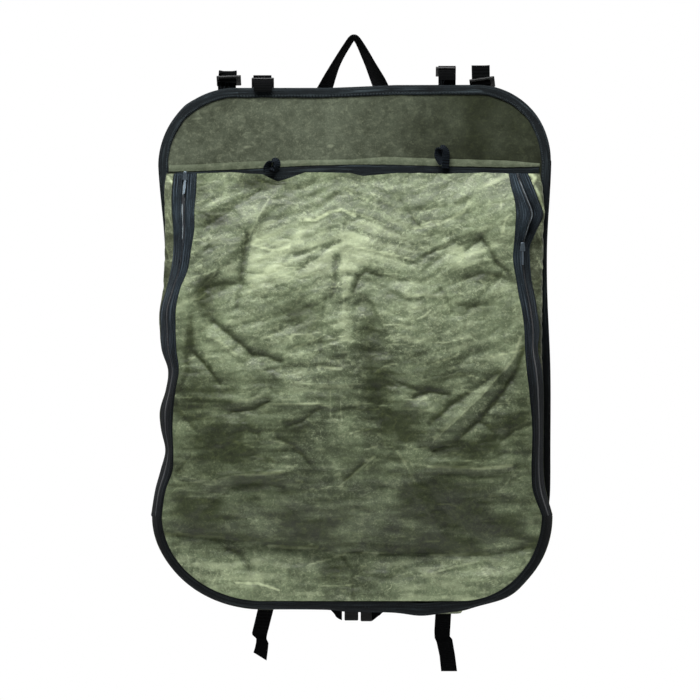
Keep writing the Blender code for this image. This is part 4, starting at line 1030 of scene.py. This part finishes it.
def sideGusset(side, rows):
    column = 1 if side < 0 else 2

    def place(u, v):
        z = front["top"] + (front["cornerZ"] + front["gap"] - front["top"]) * v
        edge = zipPoint(rows, z, 1.0)
        start = edge + (edge - zipPoint(rows, z, 0.8)).normalized() * 2 * front["gap"]
        rootX = panel["left" if side < 0 else "right"] + curveAt(panelBow, column, z) - side * gusset["seamInset"]
        point = gussetCurve(start, Vector((rootX, gusset["seamY"], z)), curveAt(bulge, column, z), z, u)
        share = ease(min(u, 1 - u) * 3) * ease(min(v, 1 - v) * 14)
        crease = 0.5 - 2 * abs(ripple(z * 0.9 + 30 * u, z, 17, 81.0 + side))
        point.x += side * min(gusset["pleat"] * crease, 0.3) * share
        point.y -= 0.8 * crease * share
        return point
    return place


# strength, width, then x and y of each point of a painted highlight along the edge of the gussets' folds
gussetFoldHighlights = linesOf((
    (1.0, 3.5, 528, 172, 534, 178, 530, 186), (0.9, 2.4, 534, 187, 539, 198, 543, 212), (0.8, 3.0, 168, 178, 173, 184),
    (0.7, 1.6, 537, 232, 541, 246), (0.7, 1.6, 536, 258, 542, 270), (0.6, 1.6, 167, 214, 171, 226),
    (0.6, 1.6, 166, 246, 170, 262),
))


def gussetStainAndShadow(x, z):
    # A painted shadow darkens the right gusset between these heights, over a random mottle
    shade = ease((x - 200) / 20) * ease((-330 - z) / 40) * (1 - ease((-590 - z) / 20))
    return min(max(0.3 + 0.9 * ripple(x * 0.5, z, 16, 91.0) + shade, 0), 1)


def gussetWornAndHighlight(x, z):
    # Thin pale lines of worn wax, and painted highlights along the fold edges from the table
    total = 0.5 * bell(ripple(x, z, 18, 92.0) / 0.06)
    for strength, width, far, _ in near(gussetFoldHighlights, x, z):
        total = max(total, strength * bell(far / width))
    return total


for side, rows, name, flatWidth in ((-1, leftZip, "left", 0.036), (1, rightZip, "right", 0.033)):
    sideSheet = gridPiece(
        "gusset" + name.capitalize(), "gussetCanvas", 16, 220, sideGusset(side, rows), (50, 433), wall=gusset["wall"],
        replaced=["gusset_" + name], marks={"stainAndShading": gussetStainAndShadow, "wornAndHighlight": gussetWornAndHighlight},
    )


def lipDrop(angle):
    return 5.0 + 9.0 * math.exp(-angle / 9.0)


def lowerRim(t, inset):
    # Along the pouch's lower rim, left to right: x, z and the corner's angle in degrees
    left, right = lowerEnds["left"], lowerEnds["right"]
    if t < left:
        angle = 90 * t / left
        return (*frontCorner(-1, math.radians(angle), inset), angle)
    if t > right:
        angle = 90 * (1 - t) / (1 - right)
        return (*frontCorner(1, math.radians(angle), inset), angle)
    return (*frontBottom((t - left) / (right - left), inset), 90)


def rimSag(x):
    # The edge hangs lower to the right of its middle
    return -4.5 * bell((x - 88) / 26) - 2.0 * bell((x - 20) / 60)


def bottomGusset(u, v):
    trim = rimTrim(lowerRim(v, 0)[0])
    x, z, angle = lowerRim(v, 0.9 + trim)
    start = Vector((x, -(front["lip"] - lipDrop(angle) - 0.6), z))
    rootX, rootZ, _ = lowerRim(v, panelInset + gusset["seamInset"])
    bulgeX, bulgeZ, _ = lowerRim(v, 2.4 + trim)
    point = gussetCurve(start, Vector((rootX, gusset["seamY"], rootZ)), bulgeX, bulgeZ, u)
    share = ease(min(u, 1 - u) * 3) * ease(min(v, 1 - v) * 16)
    crease = 0.5 - 2 * abs(ripple(v * 640, 20 * u, 17, 85.0))
    point.y -= 0.8 * crease * share
    if angle >= 89:
        point.z += rimSag(x) * (1 - u) ** 2
        # One slack bulge shows below the binding
        point.z -= 3.4 * bell((x - 136) / 20) * 4 * u * (1 - u)
    if min(v, 1 - v) < 0.002:
        point.z -= front["gap"]
    return point


bottomSheet = gridPiece(
    "gussetBottom", "gussetCanvas", 14, 300, bottomGusset, (45, 642), wall=gusset["wall"],
    replaced=["gusset_bottom"], marks={"stainAndShading": gussetStainAndShadow, "wornAndHighlight": gussetWornAndHighlight},
)


def bottomBinding(u, v):
    trim = rimTrim(lowerRim(v, 0)[0])
    x, z, angle = lowerRim(v, (front["band"] + 0.5 * ripple(v * 640, 0, 22, 95.0)) * (1 - u) + trim * u)
    depth = front["lip"] - lipDrop(angle) * u * u + 0.5 * (1 - (2 * u - 1) ** 2)
    depth += 0.3 * ripple(v * 640, u * 12, 16, 96.0)
    if angle >= 89:
        z += rimSag(x) * (0.4 + 0.6 * u)
    if min(v, 1 - v) < 0.002:
        z -= front["gap"]
    return x, -depth, z


gridPiece("bottomBinding", "binding", 8, 360, bottomBinding, (14, 642), wall=2.0, replaced=["bottom_binding"])
print("gussets and lower binding are made")


def pathPoint(points, t):
    # A smooth curve through the points, with any number of coordinates
    last = len(points) - 1
    at = min(max(t, 0.0), 1.0) * last
    index = min(int(at), last - 1)
    f = at - index
    rows = [points[min(max(index + step, 0), last)] for step in (-1, 0, 1, 2)]
    return [
        0.5 * (2 * b + (c - a) * f + (2 * a - 5 * b + 4 * c - d) * f**2 + (3 * b - a - 3 * c + d) * f**3)
        for a, b, c, d in zip(*rows)
    ]


def ribbonPiece(name, look, points, across, width, wall, rows, replaced, sewnEnds=1):
    # across(t) points from one selvedge to the other
    length = sum((Vector(b[:3]) - Vector(a[:3])).length for a, b in zip(points, points[1:]))

    def place(u, v):
        centre = Vector(pathPoint(points, v)[:3])
        ahead = Vector(pathPoint(points, min(v + 0.004, 1))[:3]) - Vector(pathPoint(points, max(v - 0.004, 0))[:3])
        ahead.normalize()
        level = Vector(across(v))
        level = (level - ahead * level.dot(ahead)).normalized()
        return centre + level * (u - 0.5) * width
    return gridPiece(name, look, 6, rows, place, (width, length), wall=wall, replaced=replaced,
                     sewnEnds=sewnEnds)


# x, y, z, turn in degrees from sewn end to sewn end
handlePath = (
    (-53.0, 5.7, -94.0, 0), (-44.0, 5.7, -77.0, 4), (-35.0, 5.7, -60.6, 22), (-28.6, 5.4, -46.0, 44),
    (-21.6, 4.4, -31.0, 60), (-14.0, 3.0, -17.5, 66), (-6.4, 1.6, -5.4, 68), (-2.0, 0.6, 1.0, 70),
    (1.6, 0.0, 3.0, 71), (5.2, 0.6, 1.0, 70), (9.6, 1.6, -5.8, 66), (16.0, 3.0, -18.0, 58),
    (22.4, 4.4, -31.0, 50), (28.9, 5.4, -44.5, 34), (34.9, 5.7, -57.2, 12), (44.0, 5.7, -76.0, 0),
    (53.0, 5.7, -93.0, 0),
)


def handleAcross(t):
    here, after = pathPoint(handlePath, max(t - 0.02, 0)), pathPoint(handlePath, min(t + 0.02, 1))
    along = Vector(after[:3]) - Vector(here[:3])
    level = Vector((along.z, 0, -along.x)).normalized()
    turn = math.radians(pathPoint(handlePath, t)[3])
    return level * math.cos(turn) + Vector((0, 1, 0)) * math.sin(turn)


ribbonPiece("handle", "webbing", handlePath, handleAcross, 19.0, 1.6, 150, ["handle"], sewnEnds=2)

# x, top, lean, webbing width, then the slider's sideways offset, height, width, tilt and turn, and how far the
# flap stands out
stubs = (
    (-159.8, -39.2, 1.0, 23.0, 2.4, -51.5, 31.0, 50, 2, 0.0), (-114.3, -44.5, -0.5, 23.0, 0.0, -55.0, 28.4, 42, 0, 7.0),
    (119.8, -32.6, 0.0, 22.0, -1.6, -40.0, 25.5, 55, 0, 5.0), (163.0, -32.0, -0.5, 23.0, 1.6, -54.5, 32.0, 48, 8, 0.0),
)
stubLook = {"rear": 5.7, "sewn": -92.0, "radius": 2.2, "webbing": 1.6}
sliderLook = {"height": 18.0, "endBar": 3.6, "midBar": 1.6, "clear": -0.3, "thick": 2.4}


def strapSlider(name, centre, width, passed, offset, tilt, turn, replaced):
    # A three-bar slider: its side bars stand just clear of the webbing that passes through
    half, side = sliderLook["height"] / 2, passed / 2 + sliderLook["clear"]
    columns = (-width / 2, -offset - side, side - offset, width / 2)
    end, middle = half - sliderLook["endBar"], sliderLook["midBar"] / 2
    rows = (-half, -end, -middle, middle, end, half)
    bm = bmesh.new()
    bmesh.ops.create_grid(bm, x_segments=3, y_segments=5, size=0.5)
    centres = [(face, face.calc_center_median()) for face in bm.faces]
    windows = [face for face, at in centres if abs(at.x) < 0.1 and 0.1 < abs(at.y) < 0.3]
    bmesh.ops.delete(bm, geom=windows, context="FACES")
    for vert in bm.verts:
        x, z = columns[round((vert.co.x + 0.5) * 3)], rows[round((vert.co.y + 0.5) * 5)]
        vert.co = (x * mm, 0, z * mm)
    turned = Matrix.Rotation(math.radians(-turn), 4, "Y") @ Matrix.Rotation(math.radians(tilt), 4, "X")
    bmesh.ops.transform(bm, matrix=Matrix.Translation(Vector(centre) * mm) @ turned, verts=bm.verts)
    return finishPiece(name, bm, "plastic", replaced, wall=sliderLook["thick"], bevel=0.7, smooth=False)


for number, (x, top, lean, width, offset, slider, sliderWidth, tilt, turn, flap) in enumerate(stubs, start=1):
    radius, rear = stubLook["radius"], stubLook["rear"]
    fold = top - radius - stubLook["webbing"] / 2
    points = [(x, rear, stubLook["sewn"]), (x, rear, slider - 18), (x, rear, slider - 4)]
    for step in range(7):
        angle = math.pi * step / 6
        points.append((x + lean, rear - radius + radius * math.cos(angle), fold + radius * math.sin(angle)))
    if flap:
        # The free end lies over the slider and the board's edge
        points += [(x, rear - 2 * radius - 0.75 * flap, slider + 2), (x, rear - 2 * radius - flap, slider - 5),
                   (x, rear - 2 * radius - flap, slider - 11)]
    else:
        points += [(x + lean * 0.5, rear - 2 * radius, slider + 3), (x, rear - 2 * radius, slider - 2)]
    ribbonPiece(f"topStrap{number}", "webbing", points, lambda t: (1, 0, 0), width, stubLook["webbing"], 90,
                [f"top_strap_{number}"])
    strapSlider(f"strapSlider{number}", (x + offset, rear - radius, slider), sliderWidth, width, offset, tilt,
                turn, [f"strap_slider_{number}"])

# x, z round each small tape loop
loopPaths = {
    "Left": ((-107.8, -168.0), (-108.6, -162.0), (-105.5, -156.5), (-101.0, -153.8), (-97.2, -155.0), (-96.6, -159.5),
             (-99.5, -162.5), (-102.8, -160.0)),
    "Right": ((117.2, -163.0), (118.2, -150.0), (117.6, -142.0), (113.4, -137.6), (109.2, -140.0), (108.4, -147.0),
              (111.5, -153.5), (114.4, -157.0)),
}
for side, rows in loopPaths.items():
    points = [(x, -7.6, z) for x, z in rows]
    ribbonPiece("loop" + side, "loopTape", points, lambda t: (0.8, 0.42, 0.43), 10.2, 1.4, 60,
                ["loop_" + side.lower()])

# left x, left y, right x, right y in the photograph, then how far back the left and the right edge lie
lowerStraps = {
    "Left": (
        (257.3, 581.7, 273.0, 581.7, 5.7, 5.7), (257.3, 600.0, 273.0, 600.0, 5.7, 5.7),
        (257.0, 609.0, 272.8, 609.4, 5.7, 5.7), (251.2, 633.0, 266.4, 634.4, 5.2, 5.0),
        (251.6, 635.2, 265.8, 637.6, 5.0, 4.2), (255.6, 638.8, 265.9, 639.4, 4.2, 1.6),
        (255.3, 643.0, 267.7, 643.2, 3.6, 0.2), (254.2, 648.0, 267.0, 650.2, 3.4, 0.2),
        (252.7, 652.6, 265.7, 660.5, 3.4, 0.4),
    ),
    "Right": (
        (434.9, 581.7, 450.6, 581.7, 5.7, 5.7), (434.9, 600.0, 450.6, 600.0, 5.7, 5.7),
        (434.6, 614.5, 450.5, 614.0, 5.7, 5.7), (433.6, 631.0, 449.6, 629.0, 5.4, 5.4),
        (433.9, 638.0, 449.2, 636.6, 5.0, 4.6), (435.9, 642.4, 451.6, 639.4, 4.2, 3.4),
        (438.8, 656.0, 454.3, 655.0, 3.6, 3.4), (440.4, 671.4, 456.4, 671.4, 3.6, 3.6),
    ),
}


def edgedPlace(rows):
    def place(u, v):
        at = v * (len(rows) - 1)
        index = min(int(at), len(rows) - 2)
        here = [a + (b - a) * (at - index) for a, b in zip(rows[index], rows[index + 1])]
        leftX, leftZ = spot(here[0], here[1])
        rightX, rightZ = spot(here[2], here[3])
        return leftX + (rightX - leftX) * u, here[4] + (here[5] - here[4]) * u, leftZ + (rightZ - leftZ) * u
    return place


for side, rows in lowerStraps.items():
    gridPiece("lowerStrap" + side, "webbing", 8, 14 * (len(rows) - 1), edgedPlace(rows), (20, 110), wall=1.6,
              replaced=["lower_strap_" + side.lower()])

# upper x, upper z, lower x, lower z, y
waistRows = {
    "Left": ((-158.3, -557.3, -176.0, -575.0, 4.2), (-140.0, -575.6, -157.7, -593.3, 4.2),
             (-60.0, -655.6, -77.7, -673.3, 7.0), (-24.0, -691.6, -29.0, -723.2, 9.4),
             (-18.0, -698.0, -20.8, -733.4, 9.8), (-13.7, -702.0, -13.7, -737.4, 10.0)),
    "Right": ((168.3, -557.3, 186.0, -575.0, 4.2), (152.0, -575.6, 169.7, -593.3, 4.2),
              (72.0, -655.6, 89.7, -673.3, 7.0), (34.0, -693.6, 42.0, -723.4, 9.4),
              (29.0, -698.0, 31.6, -732.8, 9.8), (24.0, -703.0, 24.0, -738.8, 10.0)),
}


def waistPlace(rows):
    def place(u, v):
        upperX, upperZ, lowerX, lowerZ, y = pathPoint(rows, v)
        return upperX + (lowerX - upperX) * u, y, upperZ + (lowerZ - upperZ) * u
    return place


for side, rows in waistRows.items():
    gridPiece("waistStrap" + side, "webbing", 8, 90, waistPlace(rows), (25, 220), wall=1.6,
              replaced=["waist_strap_" + side.lower()])
print("webbing is made")


def plateFrom(name, look, outline, frontY, backY, replaced, bevel):
    # A plate with this outline, x and z, between two depths
    bm = bmesh.new()
    face = bm.faces.new([bm.verts.new((x * mm, frontY * mm, z * mm)) for x, z in outline])
    moved = bmesh.ops.extrude_face_region(bm, geom=[face])
    verts = [item for item in moved["geom"] if isinstance(item, bmesh.types.BMVert)]
    bmesh.ops.translate(bm, verts=verts, vec=(0, (backY - frontY) * mm, 0))
    bmesh.ops.recalc_face_normals(bm, faces=bm.faces)
    return finishPiece(name, bm, look, replaced, bevel=bevel, smooth=False)


# x, z round each half of the buckle
buckleSocket = (
    (-13.3, -724.0), (-10.5, -724.0), (-10.5, -737.6), (7.0, -737.6), (7.0, -705.0), (-10.5, -705.0),
    (-10.5, -708.0), (-13.3, -708.0),
)
bucklePlug = (
    (7.4, -722.0), (10.0, -722.0), (10.0, -738.6), (24.1, -738.6), (24.1, -706.0), (10.0, -706.0),
    (10.0, -711.0), (7.4, -711.0),
)
plateFrom("buckleSocket", "plastic", buckleSocket, 5.0, 15.0, ["buckle_socket"], 1.2)
plateFrom("bucklePlug", "plastic", bucklePlug, 5.0, 15.0, ["buckle_plug"], 1.2)

zipSlider = {
    "lower": 3.5, "upper": 2.2, "depth": 3.0, "height": 11.0, "seat": 1.35, "reach": 0.2, "pullWidth": 2.8,
    "pullHeight": 17.0, "pullDepth": 2.3,
}
for side, rows, z in (("Left", leftZip, -172.5), ("Right", rightZip, -263.0)):
    split = curveAt(rows, 6, z)
    teeth = zipPoint(rows, z, split)
    half = zipSlider["height"] / 2
    depths = [zipPoint(rows, z + rise, split - zipSlider["reach"]).y for rise in (-half, 0, half)]
    seat = min(depths) - zipSlider["seat"]
    lower, upper = zipSlider["lower"], zipSlider["upper"]
    corners = ((-lower, -half), (lower, -half), (upper, half), (-upper, half))
    outline = [(teeth.x + aside, z + rise) for aside, rise in corners]
    plateFrom("zipSlider" + side, "metal", outline, seat - zipSlider["depth"], seat,
              ["zip_slider_" + side.lower()], 0.9)
    top = z - half - 0.4
    bottom = top - zipSlider["pullHeight"]
    low = zipPoint(rows, bottom, curveAt(rows, 6, bottom))
    lean = min(low.y - teeth.y, 0.0)

    def pullPlace(u, v, top=top, teeth=teeth, low=low, lean=lean, seat=seat):
        width = zipSlider["pullWidth"] * (0.8 + 0.2 * math.sin(v * math.pi))
        x = teeth.x + (low.x - teeth.x) * v + (u - 0.5) * width
        return x, seat - zipSlider["pullDepth"] + lean * v, top - zipSlider["pullHeight"] * v
    gridPiece("zipPull" + side, "metal", 4, 16, pullPlace, (5, 17), wall=1.2, replaced=["zip_pull_" + side.lower()])
print("buckle and zip sliders are made")

floorMesh = bmesh.new()
bmesh.ops.create_grid(floorMesh, x_segments=1, y_segments=1, size=studio["floorHalf"])
bmesh.ops.translate(floorMesh, vec=(0, 0, studio["floorHeight"]), verts=floorMesh.verts)
floorData = bpy.data.meshes.new("floor")
floorMesh.to_mesh(floorData)
floorMesh.free()
floor = bpy.data.objects.new("floor", floorData)
scene.collection.objects.link(floor)
floorMaterial, floorTree, floorShader = newMaterial("paleFloor")
floorShader.inputs["Base Color"].default_value = (0.8, 0.8, 0.79, 1)
floorShader.inputs["Roughness"].default_value = 0.7
floorShader.inputs["Emission Color"].default_value = (1, 1, 1, 1)
floorShader.inputs["Emission Strength"].default_value = 0.35
floorData.materials.append(floorMaterial)

print("scene is finished")
